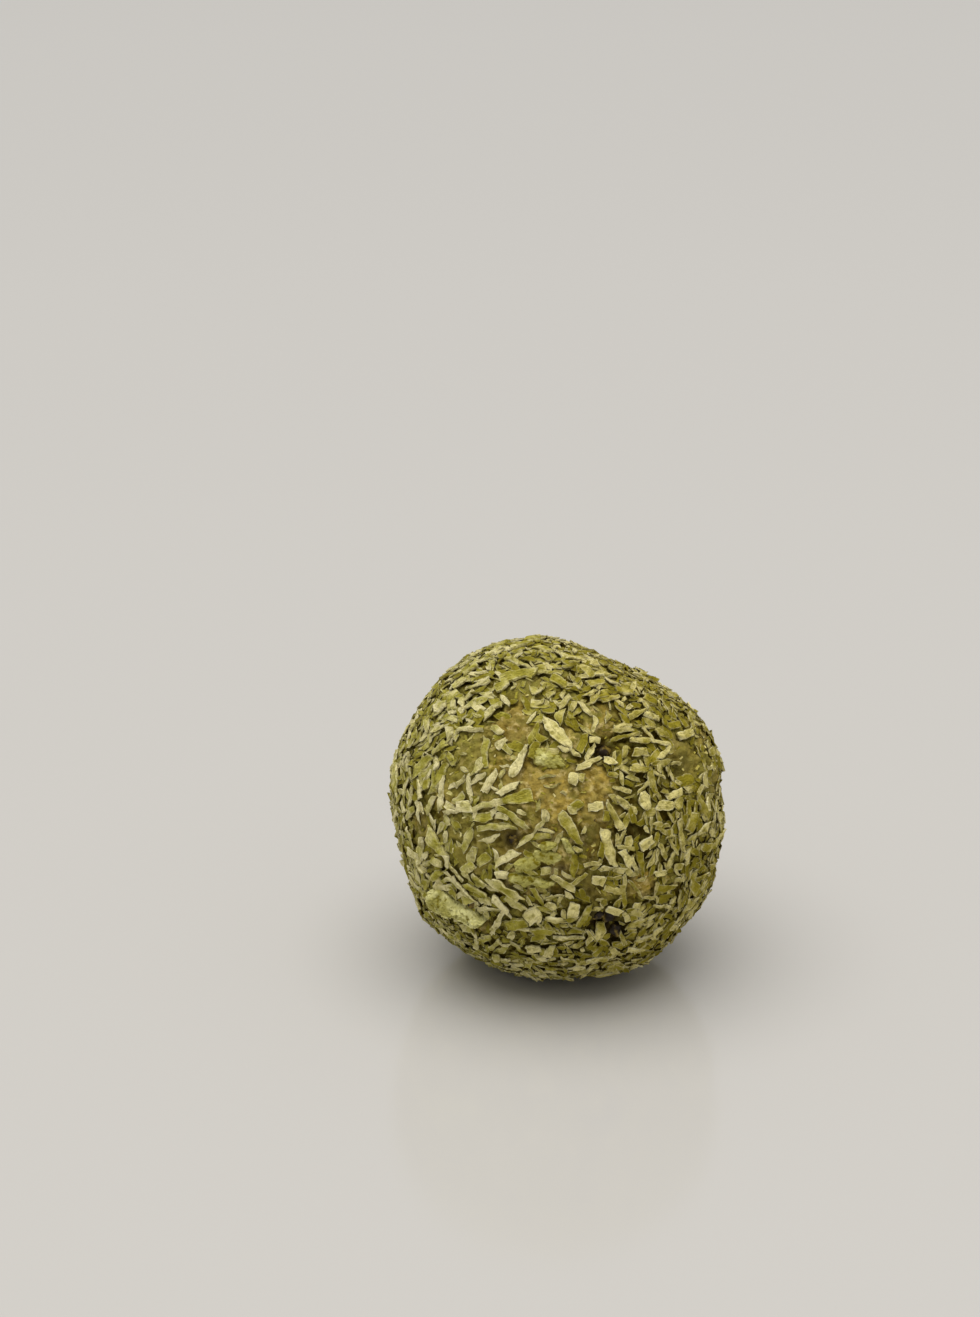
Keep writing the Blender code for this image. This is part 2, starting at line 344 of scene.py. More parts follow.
dough_mesh, dough_ways = blown_up_cube()
mark_places(dough_mesh, "bare", dough_ways, BARE_PATCHES)
mark_places(dough_mesh, "pit_and_shade", dough_ways, DARK_PLACES)
mark_places(dough_mesh, "olive", dough_ways, OLIVE_PLACES)
mark_places(dough_mesh, "amber", dough_ways, AMBER_PLACES)
smooth_dough = new_object("dough", dough_mesh)


def new_tree(name, sizes):
    """A Geometry Nodes tree with those named inputs, as (tree, its input node, its output node)."""
    tree = bpy.data.node_groups.new(name, "GeometryNodeTree")
    tree.interface.new_socket("Geometry", in_out="INPUT", socket_type="NodeSocketGeometry")
    for label, kind in sizes.items():
        tree.interface.new_socket(label, in_out="INPUT", socket_type="NodeSocket" + kind)
    tree.interface.new_socket("Geometry", in_out="OUTPUT", socket_type="NodeSocketGeometry")
    return tree, tree.nodes.new("NodeGroupInput"), tree.nodes.new("NodeGroupOutput")


def grow(name, base, tree, sizes):
    """Runs a tree on a copy of the base piece and returns what it makes as a plain mesh object."""
    made = new_object(name, base.data.copy())
    modifier = made.modifiers.new(name, "NODES")
    modifier.node_group = tree
    sockets = {s.name: s.identifier for s in tree.interface.items_tree if s.in_out == "INPUT"}
    for label, value in sizes.items():
        modifier[sockets[label]] = value
    bpy.context.view_layer.update()
    grown = bpy.data.meshes.new_from_object(made.evaluated_get(bpy.context.evaluated_depsgraph_get()))
    made.modifiers.remove(modifier)
    made.data = grown
    grown.name = name
    return made


def math_node(tree, operation, first, second=0.0):
    return add(tree, "ShaderNodeMath", {0: first, 1: second}, operation=operation).outputs[0]


def vector_node(tree, operation, inputs):
    return add(tree, "ShaderNodeVectorMath", inputs, operation=operation).outputs[0]


def joined(tree, x, y, z):
    return add(tree, "ShaderNodeCombineXYZ", {0: x, 1: y, 2: z}).outputs[0]


def between(tree, share, low, high):
    """The value that lies that share of the way from low to high."""
    return add(tree, "ShaderNodeMapRange", {"Value": share, "To Min": low, "To Max": high}).outputs[0]


def ramp(tree, value, low, high):
    """0 below low, 1 above high, and smooth in between."""
    limits = {"Value": value, "From Min": low, "From Max": high}
    return add(tree, "ShaderNodeMapRange", limits, interpolation_type="SMOOTHSTEP").outputs[0]


def speckle(tree, where, scale, detail=3.0):
    return add(tree, "ShaderNodeTexNoise", {"Vector": where, "Scale": scale, "Detail": detail}).outputs[0]


def stains(tree, where, scale, low, high):
    """A speckle sharpened into stains: 0 where it is below low, 1 where it is above high."""
    return ramp(tree, speckle(tree, where, scale), low, high)


def stored(tree, name):
    return add(tree, "GeometryNodeInputNamedAttribute", {"Name": name}, data_type="FLOAT").outputs[0]


def noise_lift(tree, position, size, height):
    """A noise over the surface with grains of that size, from minus to plus that height."""
    grain = speckle(tree, position, math_node(tree, "DIVIDE", 1.0, size), 2.0)
    centred = math_node(tree, "SUBTRACT", grain, 0.5)
    return math_node(tree, "MULTIPLY", math_node(tree, "MULTIPLY", centred, 2.0), height)


RELIEF_FLOATS = ("Lump Size", "Lump Height", "Grain Size", "Grain Height", "Coat Depth")
relief_inputs = {**dict.fromkeys(RELIEF_FLOATS, "Float"), "Finish": "Material"}
relief, given, result = new_tree("dough_relief", relief_inputs)
size = given.outputs
position = add(relief, "GeometryNodeInputPosition").outputs[0]
normal = add(relief, "GeometryNodeInputNormal").outputs[0]
lumps = noise_lift(relief, position, size["Lump Size"], size["Lump Height"])
grains = noise_lift(relief, position, size["Grain Size"], size["Grain Height"])
rise = math_node(relief, "ADD", lumps, grains)
marked = add(
    relief,
    "GeometryNodeStoreNamedAttribute",
    {"Geometry": size[0], "Name": "rise", "Value": rise},
    data_type="FLOAT",
    domain="POINT",
)
coated = math_node(relief, "SUBTRACT", 1.0, stored(relief, "bare"))
pressed = math_node(relief, "MULTIPLY", coated, size["Coat Depth"])
height = math_node(relief, "SUBTRACT", rise, pressed)
offset = vector_node(relief, "SCALE", {0: normal, "Scale": height})
raised = add(relief, "GeometryNodeSetPosition", {"Geometry": marked.outputs[0], "Offset": offset})
painted = add(relief, "GeometryNodeSetMaterial", {"Geometry": raised.outputs[0], "Material": size["Finish"]})
relief.links.new(painted.outputs[0], result.inputs[0])


def coordinates(tree):
    return add(tree, "ShaderNodeTexCoord").outputs["Object"]


def attribute(tree, name):
    return add(tree, "ShaderNodeAttribute", attribute_name=name).outputs["Fac"]


def blend_colour(tree, share, first, second):
    """A colour between two, each a value or another node's output."""
    mixed = add(tree, "ShaderNodeMix", {"Factor": share}, data_type="RGBA")
    for socket, value in ((mixed.inputs[6], first), (mixed.inputs[7], second)):
        if isinstance(value, bpy.types.NodeSocket):
            tree.links.new(value, socket)
        else:
            socket.default_value = value
    return mixed.outputs[2]


def paint(tree, shader, colour, grit, depth, strength=1.0):
    """Gives a shader that colour, and that grit as a fine relief of that depth."""
    tree.links.new(colour, shader.inputs["Base Color"])
    bumpy = add(tree, "ShaderNodeBump", {"Height": grit, "Strength": strength, "Distance": depth})
    tree.links.new(bumpy.outputs[0], shader.inputs["Normal"])


# SHADED_TEA_DUST is the tea dust on the coated dough, darkened with painted shade where it shows between the
# flakes.
SHADED_TEA_DUST = (0.085, 0.058, 0.002, 1)
TEA_PASTE = (0.310, 0.270, 0.050, 1)
TAN = (0.470, 0.360, 0.085, 1)
BROWN = (0.300, 0.210, 0.034, 1)
AMBER = (0.550, 0.385, 0.070, 1)
OLIVE = (0.285, 0.248, 0.046, 1)
OAT = (0.750, 0.600, 0.230, 1)
HOLLOW_SHADE = (0.110, 0.072, 0.003, 1)
DARK_DATE_AND_SHADE = (0.034, 0.021, 0.005, 1)
MASH = (  # what is ground into the tan dough: its stains and their colour
    (240, 0.42, 0.62, OLIVE),
    (380, 0.50, 0.66, BROWN),
    (800, 0.60, 0.74, AMBER),
)
AMBER_GLOW = (560, 0.40, 0.62)  # stains: their scale, and where in the noise they begin and are full
OAT_FLECKS = (1100, 0.50, 0.70)
TEA_CLOTS = (650, 0.42, 0.62)
DARK_PLACE_BREAKUP = (900, 0.22, 0.45)
OPEN_EDGE = (420, 0.70, 1.20)  # the same, for the uneven edge of the bare patches
HOLLOW_SHADE_RISE = (-0.02 * MM, -0.32 * MM)  # from this rise downwards painted shade darkens the dough
HOLLOW_SHADE_SHARE = 0.45
DAMP = (0.45, 0.75)  # roughness of its moist and its dull spots
DAMP_SCALE = 500
GRIT = (1500, 4.0)  # scale and detail
GRIT_DEPTH = 0.55 * MM

moist, nodes, shader = new_finish("dough", shine=0.07)
where = coordinates(nodes)
olive = attribute(nodes, "olive")
open_dough = math_node(nodes, "ADD", attribute(nodes, "bare"), speckle(nodes, where, OPEN_EDGE[0]))
open_dough = ramp(nodes, open_dough, *OPEN_EDGE[1:])
mash = TAN
for scale, low, high, stain in MASH:
    mash = blend_colour(nodes, stains(nodes, where, scale, low, high), mash, stain)
mash = blend_colour(nodes, olive, mash, OLIVE)
glow = math_node(nodes, "MULTIPLY", attribute(nodes, "amber"), stains(nodes, where, *AMBER_GLOW))
mash = blend_colour(nodes, glow, mash, AMBER)
not_olive = math_node(nodes, "SUBTRACT", 1.0, olive)
oats = math_node(nodes, "MULTIPLY", not_olive, stains(nodes, where, *OAT_FLECKS))
mash = blend_colour(nodes, oats, mash, OAT)
# Painted shade: the low parts of the dough's relief turn darker.
hollow_shade = ramp(nodes, attribute(nodes, "rise"), *HOLLOW_SHADE_RISE)
mash = blend_colour(nodes, math_node(nodes, "MULTIPLY", hollow_shade, HOLLOW_SHADE_SHARE), mash, HOLLOW_SHADE)
# The coated dough: tea dust with painted shade between the flakes, and deeper painted shade in its hollows.
tea_dust_and_shade = blend_colour(nodes, stains(nodes, where, *TEA_CLOTS), SHADED_TEA_DUST, TEA_PASTE)
tea_dust_and_shade = blend_colour(nodes, glow, tea_dust_and_shade, BROWN)
tea_dust_and_shade = blend_colour(nodes, olive, tea_dust_and_shade, TEA_PASTE)
tea_dust_and_shade = blend_colour(nodes, hollow_shade, tea_dust_and_shade, SHADED_TEA_DUST)
colour = blend_colour(nodes, open_dough, tea_dust_and_shade, mash)
# The dark places: dark date in the pits, and painted shade in the hollows, the crease and the crevices under
# the clumps.
date_and_shade = math_node(nodes, "MULTIPLY", attribute(nodes, "pit_and_shade"), stains(nodes, where, *DARK_PLACE_BREAKUP))
colour = blend_colour(nodes, date_and_shade, colour, DARK_DATE_AND_SHADE)
dampness = between(nodes, speckle(nodes, where, DAMP_SCALE), *DAMP)
nodes.links.new(dampness, shader.inputs["Roughness"])
paint(nodes, shader, colour, speckle(nodes, where, *GRIT), GRIT_DEPTH)

dough = grow(
    "dough_ball",
    smooth_dough,
    relief,
    {
        "Lump Size": 2.0 * MM,
        "Lump Height": 0.55 * MM,
        "Grain Size": 0.80 * MM,
        "Grain Height": 0.78 * MM,
        "Coat Depth": 0.30 * MM,
        "Finish": moist,
    },
)


def rest_on_floor(piece):
    """Presses whatever would sink below the floor flat against it."""
    points = np.empty(len(piece.data.vertices) * 3)
    piece.data.vertices.foreach_get("co", points)
    points = points.reshape(-1, 3)
    points[:, 2] = np.maximum(points[:, 2], 0.0)
    piece.data.vertices.foreach_set("co", points.ravel())
    piece.data.update()


rest_on_floor(dough)
dough.data.shade_smooth()
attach(dough, "root")
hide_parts("protein_ball")


# The coconut. Desiccated flesh broken into thin shards, tossed in green tea powder. Each shard is a thin
# slab with ragged edges, snapped or pointed at its ends, bowed, cupped or curled up as it dried, and paler
# along its broken rim, where the white flesh of the break shows and a painted highlight is laid on.
ENDS = (0.50, 0.80, 1.00)  # how wide a pointed, a worn and a snapped end still is
END_CURVE = 6  # the higher, the closer to its end a piece narrows
LEAF_CURVE = 2.5  # the higher, the fuller a leaf-shaped piece is
CORNER_STEP = 0.8 * MM  # from one corner of a ragged edge to the next
ASLANT = 4.0  # how far an end runs aslant, as a multiple of how ragged the piece is
JAGS = 1.6  # how deep its sides are broken, in the same way
NICKS = 0.6  # how deep its ends are
RIM_THICKNESS = 0.70
UNEVEN = (0.8, 1.2)  # the thickness from point to point
CRISP = math.radians(50)  # an edge sharper than this stays hard


def shard(
    draw, length, width, thick, stations=5, columns=3, taper=0.5, leaf=0.0,
    bow=0.0, bend=0.0, cup=0.0, lip=0.0, twist=0.0, ragged=0.18, ends=None,
):
    """One closed slab along X, level in XY: its points, its faces, and where on the slab each point is."""
    points = []
    marks = {"along": [], "across": [], "under": []}
    ends = ends or (draw.choice(ENDS), draw.choice(ENDS))
    skew = [draw.uniform(-ASLANT, ASLANT) * ragged * width for _ in range(2)]
    steps = max(2, round(length / CORNER_STEP))
    jags = [[draw.uniform(-JAGS, JAGS) * ragged for _ in range(steps + 1)] for _ in range(2)]
    for i in range(stations):
        s = i / (stations - 1)
        narrow = (1 - taper * s) * (1 - leaf * abs(2 * s - 1) ** LEAF_CURVE)
        narrow *= (1 - (1 - ends[0]) * (1 - s) ** END_CURVE) * (1 - (1 - ends[1]) * s**END_CURVE)
        k = min(int(s * steps), steps - 1)
        sides = [narrow * (1 + jag[k] + (s * steps - k) * (jag[k + 1] - jag[k])) for jag in jags]
        at_end = i in (0, stations - 1)
        for j in range(columns):
            v = 2 * j / (columns - 1) - 1
            at_side = j in (0, columns - 1)
            x = (s - 0.5) * length
            if at_end:
                x += v * skew[i > 0] + draw.uniform(-NICKS, NICKS) * ragged * width
            y = v * width / 2 * sides[v > 0]
            z = bend * (2 * s - 1) ** 2 * length + cup * v * v * width + lip * max(0.0, v) * s * width
            turn = twist * (s - 0.5)
            y, z = y * math.cos(turn) - z * math.sin(turn), y * math.sin(turn) + z * math.cos(turn)
            y += bow * (1 - (2 * s - 1) ** 2) * length
            edge = RIM_THICKNESS if at_side or at_end else 1.0
            half = thick / 2 * edge * draw.uniform(*UNEVEN)
            points += [(x, y, z + half), (x, y, z - half)]
            marks["along"] += [s, s]
            marks["across"] += [v, v]
            marks["under"] += [0, 1]
    faces = []
    row = 2 * columns
    for i in range(stations - 1):
        for j in range(columns - 1):
            a, b = row * i + 2 * j, row * i + 2 * j + 2
            c, d = b + row, a + row
            faces += [(a, d, c, b), (a + 1, b + 1, c + 1, d + 1)]
        near, far = row * i, row * i + row - 2
        faces += [(near + row, near, near + 1, near + row + 1), (far, far + row, far + row + 1, far + 1)]
    last = row * (stations - 1)
    for a in range(0, row - 2, 2):
        faces.append((a, a + 2, a + 3, a + 1))
        faces.append((last + a, last + a + 1, last + a + 3, last + a + 2))
    return points, faces, marks


def coconut_mesh(name, points, faces, marks):
    """A mesh with crisp broken edges that carries those marks on its points."""
    mesh = bpy.data.meshes.new(name)
    mesh.from_pydata(points, [], faces)
    for label, numbers in marks.items():
        mesh.attributes.new(label, "FLOAT", "POINT").data.foreach_set("value", numbers)
    mesh.shade_smooth()
    mesh.set_sharp_from_angle(angle=CRISP)
    return mesh


GREEN_FLESH = (0.500, 0.460, 0.075, 1)
WARM_SHADED_FLESH = (0.410, 0.342, 0.030, 1)
PALE_FLESH = (0.980, 0.890, 0.470, 1)
WARM_SHADED_PALE = (0.950, 0.835, 0.330, 1)
CREAM_RIM_AND_HIGHLIGHT = (0.980, 0.915, 0.560, 1)
TEA_DUST = (0.245, 0.202, 0.014, 1)
UNDERSIDE_SHADE_COLOUR = (0.075, 0.048, 0.001, 1)

WARMER_AND_SHADED = (-13 * MM, 11 * MM)  # across the ball, from its left to its right, the coat turns warmer, and darker as painted shade on the side away from the lamp
PATCHES = (620, 1.6)  # scale and strength of the paler and greener patches on a piece
PALENESS = (0.25, 1.05)  # the tones between which the flesh turns from green to pale
DUSTINESS = (0.46, -0.06)  # and those between which it turns from clean to dusty
DUST_SHARE = 0.80
RIM_SIDE = (0.72, 1.0)  # where the pale rim, white flesh and a painted highlight, begins and is full, across a piece and along it
RIM_END = (0.44, 0.50)
RIM_SHARE = (0.20, 0.90)  # of the greenest and of the palest piece
RIM_CRUMBLE = (1100, 0.34, 0.56)  # stains, as on the dough
SPECKS = (1700, 0.48, 0.70)
SPECK_SHARE = 0.6
UNDERSIDE_SHADE = (0.36, 0.95)  # from where to where, round its edge, painted shade darkens the underside of a piece
FIBRES = (2.0, 5.0, 40.0)  # along and across a piece, and from one piece to the next
FIBRE_STRENGTH = 0.90
FIBRE_DEPTH = 0.32 * MM
PORES = (3200, 2.0)  # scale and detail

coconut, nodes, shader = new_finish("green_coconut", shine=0.05, roughness=0.75)
where = coordinates(nodes)
along = attribute(nodes, "along")
across = attribute(nodes, "across")
tint = attribute(nodes, "tint")
patchy = math_node(nodes, "SUBTRACT", speckle(nodes, where, PATCHES[0]), 0.5)
tone = math_node(nodes, "ADD", tint, math_node(nodes, "MULTIPLY", patchy, PATCHES[1]))
rightward = add(nodes, "ShaderNodeSeparateXYZ", {0: where}).outputs[0]
# Towards the ball's right the flesh turns warmer in colour and, as painted shade, darker.
warmth_and_shade = ramp(nodes, rightward, *WARMER_AND_SHADED)
flesh = blend_colour(nodes, warmth_and_shade, GREEN_FLESH, WARM_SHADED_FLESH)
pale = blend_colour(nodes, warmth_and_shade, PALE_FLESH, WARM_SHADED_PALE)
flesh = blend_colour(nodes, ramp(nodes, tone, *PALENESS), flesh, pale)
dusty = math_node(nodes, "MULTIPLY", ramp(nodes, tone, *DUSTINESS), DUST_SHARE)
flesh = blend_colour(nodes, dusty, flesh, TEA_DUST)
# The pale rim: the white flesh of the break, and a painted highlight along the edges.
to_side = ramp(nodes, math_node(nodes, "ABSOLUTE", across), *RIM_SIDE)
to_end = math_node(nodes, "ABSOLUTE", math_node(nodes, "SUBTRACT", along, 0.5))
rim = math_node(nodes, "MAXIMUM", to_side, ramp(nodes, to_end, *RIM_END))
rim = math_node(nodes, "MULTIPLY", rim, stains(nodes, where, *RIM_CRUMBLE))
rim = math_node(nodes, "MULTIPLY", rim, between(nodes, tone, *RIM_SHARE))
flesh = blend_colour(nodes, rim, flesh, CREAM_RIM_AND_HIGHLIGHT)
specks = math_node(nodes, "MULTIPLY", stains(nodes, where, *SPECKS), SPECK_SHARE)
flesh = blend_colour(nodes, specks, flesh, TEA_DUST)
# Painted shade on the underside and the lower edge of each piece.
flesh = blend_colour(nodes, ramp(nodes, attribute(nodes, "under"), *UNDERSIDE_SHADE), flesh, UNDERSIDE_SHADE_COLOUR)
fibre_place = vector_node(nodes, "MULTIPLY", {0: joined(nodes, along, across, tint), 1: FIBRES})
pores = math_node(nodes, "ADD", speckle(nodes, fibre_place, 1.0, 2.0), speckle(nodes, where, *PORES))
paint(nodes, shader, flesh, pores, FIBRE_DEPTH, FIBRE_STRENGTH)


# The shavings. The pieces of flesh that the eye picks out on the front, each at its own place, and as many
# on the back. Each lies where it stuck when the ball was rolled: on the dough, or partly on its neighbours.
# Each row: how far across and up its middle shows, length, width, turn in degrees, taper towards its far
# end, and paleness. An eighth number makes it an oval, and says how much.
SHAVINGS = (
    (0.1, 9.5, 5.2, 1.8, -47, 0.1, 0.75, 0.75), (-4.6, 5.9, 4.2, 1.5, 63, 0.6, 0.85, 0.2),
    (-4.8, 1.35, 3.6, 2, 193, 0.65, 0.28), (-5.9, 2.4, 2.7, 0.9, 27, 0.2, 1),
    (-8.3, 0.4, 4.6, 0.8, 196, 0.3, 0.6), (-12.6, -0.4, 2, 0.6, 12, 0.3, 0.8),
    (-8.2, 3.4, 3, 1.2, 62, 0.2, 0.85), (-9.6, 3.6, 2, 0.6, 35, 0, 0.7), (-9.6, 5.1, 2.1, 1, 57, 0.1, 0.6),
    (-6.7, 4.3, 1.2, 0.5, 50, 0, 0.45), (-6.3, 5.1, 1.1, 0.5, -10, 0.3, 0.8),
    (-7.5, 2.4, 0.9, 0.3, -25, 0, 1), (-6.7, 8.1, 1.5, 0.8, 40, 0.2, 0.85),
    (-2.9, 9.3, 2.8, 0.9, 65, 0.1, 0.1), (-2.7, 7.3, 2.2, 1.2, 70, 0.1, 0.05),
    (-0.8, 7.2, 1.8, 0.8, -10, 0.1, 0.5), (0.9, 7.4, 1.2, 0.6, -30, 0.1, 0.9),
    (2.3, 7, 1.2, 0.6, -35, 0.1, 0.7), (3.1, 8.2, 2.2, 1, 75, 0.1, 0.2),
    (4.6, 10.3, 1.8, 0.8, 260, 0.5, 0.7), (3.5, 12.4, 2.2, 0.6, -52, 0.1, 0.8),
    (0.5, 11.7, 2, 1, 75, 0.1, 0.3), (-6.4, 13.3, 1.3, 0.4, -38, 0, 0.95),
    (4.2, 7, 2.4, 0.7, 58, 0.1, 0.75), (4.7, 8.6, 1.2, 0.8, 0, 0, 0.9), (4, 5.8, 3.2, 0.7, 27, 0.1, 0.8),
    (2.1, 3.75, 1.35, 1.05, 75, 0, 0.85), (3.1, 4, 1.1, 0.75, 60, 0, 0.7), (-1.1, 4, 2, 0.3, 8, 0, 0.6),
    (-0.4, 3, 1.9, 0.3, 12, 0, 0.65), (0.9, 2, 0.8, 0.25, -40, 0, 0.8), (8, 3.9, 1.8, 0.45, -83, 0, 0.6),
    (8.1, 2.5, 2.2, 0.5, -17, 0.1, 0.7), (7, 4.3, 1.3, 0.7, -20, 0, 0.5), (7.1, 6.6, 1.3, 0.5, 80, 0, 0.6),
    (4.8, 0.4, 1.7, 0.9, 10, 0, 1), (2.7, 0.6, 1.2, 1, 30, 0, 0.4), (2.1, 0, 1, 0.9, 0, 0, 0.6),
    (-5.4, -1, 4.4, 1, -37, 0.3, 0.35), (-4.2, -0.4, 1.1, 0.45, -25, 0, 0.9),
    (-7.2, -2.4, 4.6, 0.8, 2, 0.1, 0.45), (-2.9, -2.8, 5.2, 0.6, 47, 0.1, 0.7),
    (-2.5, -3.6, 3.8, 0.8, 12, 0.2, 0.3), (-1.1, -2.6, 1.9, 0.55, -10, 0.1, 0.85),
    (1.9, -2.4, 4.8, 2, -57, 0.75, 0.35, 0.3), (0.2, -3.9, 2.4, 0.6, 68, 0.2, 0.7),
    (2.7, -4.8, 1.2, 0.5, -25, 0, 0.7), (-3, -5.6, 1.9, 0.9, -25, 0.2, 0.1),
    (-8, -3.6, 2.2, 0.8, 22, 0.1, 0.8), (6.5, -4.5, 4.3, 1.3, -77, 0.1, 0.75),
    (5.6, -5, 1.8, 0.7, 85, 0.1, 0.35), (7.2, -0.7, 3.7, 0.8, -62, 0.1, 0.6),
    (6.1, -0.7, 1.3, 0.8, 75, 0, 0.35), (8.5, -1.3, 2.6, 0.7, 62, 0.1, 0.4),
    (8.6, 0.7, 2.9, 0.8, -33, 0.1, 0.6), (8.5, -5.8, 2, 1, -60, 0.3, 0.95),
    (8.6, -4.6, 2.3, 0.5, -12, 0.1, 0.6), (8.1, -3.3, 1.8, 0.35, 72, 0, 0.5),
    (6.1, -7.1, 1.7, 0.7, 0, 0.2, 0.65), (4.4, -6.6, 1.9, 0.5, 8, 0.1, 0.6),
    (2.3, -6.8, 2.8, 1, 88, 0.2, 0.2), (-6, -6, 2.9, 0.9, 30, 0.1, 0.8),
    (-7.3, -5.8, 1.6, 0.5, -75, 0, 0.8), (-10.6, 2.4, 3, 0.8, -80, 0.1, 0.75),
    (-9.7, 1, 1.2, 0.4, 65, 0, 0.5), (-8.9, -1, 1.9, 1, 5, 0.1, 0.2), (-8.7, 6.9, 3.6, 0.8, 87, 0.1, 0.2),
    (-12, 1.2, 1.7, 0.8, 42, 0, 0.6), (-11.2, 0.3, 1.7, 1.4, 0, 0.1, 0.7),
    (-11.8, 3.3, 1.6, 0.5, 48, 0, 0.6), (-12.7, 2.8, 0.9, 0.5, 30, 0, 0.95),
    (-10.9, -3.9, 2.8, 0.9, 68, 0.2, 0.45), (-8.9, -6.2, 1.6, 1.2, 40, 0, 0.3),
    (-10.8, -7.3, 1.7, 1.2, 40, 0, 0.3), (-6.5, -8.1, 1.5, 1.1, 0, 0, 0.8), (-8, -7.9, 2, 0.5, 85, 0, 0.2),
    (0.9, -8.8, 3, 0.9, -28, 0.2, 0.6), (5.2, -8.5, 1.6, 1.1, -5, 0, 0.85),
    (-1.2, -7.5, 1.2, 0.8, 0, 0, 0.5), (2.8, -8.4, 2.4, 0.6, 38, 0.2, 0.4),
    (7.1, -8.2, 1.9, 0.5, 2, 0.1, 0.35), (-6.2, -9.8, 4.4, 1.4, -30, 0.15, 0.5),
    (-9.6, -10.1, 3.3, 0.9, -25, 0.2, 0.35), (-6.6, -11.9, 2.9, 1, -42, 0.2, 0.9),
    (-4.9, -11.5, 2.8, 1.2, -35, 0.1, 0.5), (-2.1, -10.8, 2.8, 0.7, -58, 0.1, 0.3),
    (-0.6, -11.7, 1.1, 0.8, -30, 0, 0.8), (0, -10.5, 2.2, 0.3, 12, 0, 0.6),
    (0.6, -11, 1.6, 0.5, 65, 0, 0.4), (-2.8, -12.9, 2, 1.6, 40, 0.1, 0.75),
    (0, -13.4, 2.6, 0.9, -5, 0.1, 0.85), (-4.8, -14.1, 2.5, 1.4, 10, 0.1, 0.2),
    (-6.9, -13.6, 3, 0.8, 62, 0.2, 0.7), (-8.6, -11.3, 1.3, 1, 0, 0, 0.6),
    (-8.2, -12.2, 2.8, 0.5, -5, 0.1, 0.5), (2.2, -12.1, 1.6, 1.2, 75, 0, 0.8),
    (3.4, -12.9, 3, 1.1, 62, 0.2, 0.35), (7.1, -12.2, 1.9, 1.05, -14, 0, 0.85),
    (8.6, -12.9, 1.1, 0.6, -65, 0, 0.85), (7.1, -9.8, 2.2, 0.9, -25, 0.1, 0.4),
    (8.2, -10.3, 2.5, 0.8, -80, 0.2, 0.35), (9.5, -6.6, 2.1, 0.5, -68, 0.2, 0.95),
    (5.7, -15.2, 1.55, 1.5, 82, 0.1, 0.55), (8.2, -15.6, 1.7, 0.45, -78, 0.1, 0.55),
    # the left side
    (-14.1, 1.8, 4.1, 0.95, 87, 0.8, 0.75), (-15.5, 0.4, 2.3, 1.1, 72, 0.2, 0.6),
    (-17, 2.4, 2.6, 0.75, -82, 0.1, 0.65), (-18, 1.6, 2.1, 0.7, 80, 0.1, 0.65),
    (-17, -0.5, 2.5, 0.7, -82, 0.4, 0.75), (-18.2, -0.6, 1.7, 0.8, 40, 0, 0.55),
    (-16.6, 5.2, 3.3, 1.1, 50, 0.3, 0.35), (-14.6, 3.7, 4.2, 1, 60, 0.2, 0.25),
    (-13.4, -1.5, 1.3, 0.5, -55, 0, 0.5), (-14.9, -2.1, 1.3, 0.35, 85, 0, 0.8),
    (-18.4, -3.7, 2.9, 0.4, -65, 0, 0.6), (-19.9, 3.2, 4.6, 1.2, 87, 0.3, 0.45),
    (-16.8, -4.9, 2.7, 1.2, 82, 0.4, 0.6), (-17.3, -7.2, 1.9, 1, -55, 0.2, 0.6),
    (-13.4, -6.5, 1.4, 1, -80, 0.6, 0.9), (-14.8, -6.6, 1.5, 0.8, -20, 0, 0.5),
    (-14.9, -8.2, 2.4, 1.1, 30, 0.2, 0.25), (-12.3, -7.9, 2.8, 0.6, -52, 0.3, 0.55),
    (-11.2, -10, 4.2, 0.8, -42, 0.3, 0.6), (-13.5, -8.9, 1.6, 0.5, 15, 0, 0.6),
    (-13.7, -9.8, 2, 0.8, 8, 0.2, 0.7), (-10.8, -8.5, 2, 0.6, -50, 0, 0.35),
    (-9.3, -8.8, 2.4, 0.4, -38, 0, 0.5), (-14, -14.5, 1.9, 0.6, -38, 0, 0.45),
    (-12.4, -15.7, 1.7, 0.7, -15, 0, 0.5), (-9.6, -16.4, 1.3, 0.7, 85, 0, 0.6),
    (-7.3, -16.5, 1.7, 0.8, 40, 0, 0.5), (-7.1, -18, 1.6, 0.8, 85, 0, 0.5),
    (-10.8, -14.5, 1.1, 1, 0, 0, 0.4), (-16.6, -10.6, 1.8, 0.7, -62, 0.2, 0.55),
    (-13.6, -3.4, 1.5, 0.6, 80, 0, 0.6), (-14.8, -4.4, 3.3, 1.6, -55, 0.2, 0.35),
    # the top
    (-4.9, 16.2, 4.3, 1.3, 13, 0.1, 0.3), (-4.8, 17.9, 3.4, 0.8, -18, 0.2, 0.55),
    (-1.2, 17.1, 3.4, 0.7, -4, 0, 0.45), (-4.4, 19.7, 2.5, 1.2, 20, 0.1, 0.4),
    (-1.6, 19.6, 2.2, 1.3, -20, 0.1, 0.35), (-7.6, 18.6, 2.2, 1.2, 40, 0.1, 0.45),
    (-10.4, 16.6, 2, 1.2, 30, 0.1, 0.4), (0.2, 16, 2.2, 1.2, -30, 0.2, 0.4),
    (3.6, 17.2, 2, 1.2, -40, 0.1, 0.45), (4.8, 15.7, 1.8, 1.2, 10, 0.1, 0.35),
    (-6.8, 15, 1.8, 1.1, 30, 0.2, 0.4), (-11.7, 15.1, 1.8, 1.1, 40, 0.1, 0.45),
    (-12.7, 13.6, 1.7, 1.2, 35, 0.1, 0.4), (8.4, 14.6, 1.9, 1.2, -10, 0.1, 0.25),
    (11.6, 13.6, 1.8, 1.2, -30, 0.1, 0.2), (7.4, 17.7, 2, 1.1, -25, 0.1, 0.4),
    (-9.4, 15.1, 2.7, 0.6, 18, 0, 0.5), (-9, 17.6, 2, 0.6, 10, 0, 0.65),
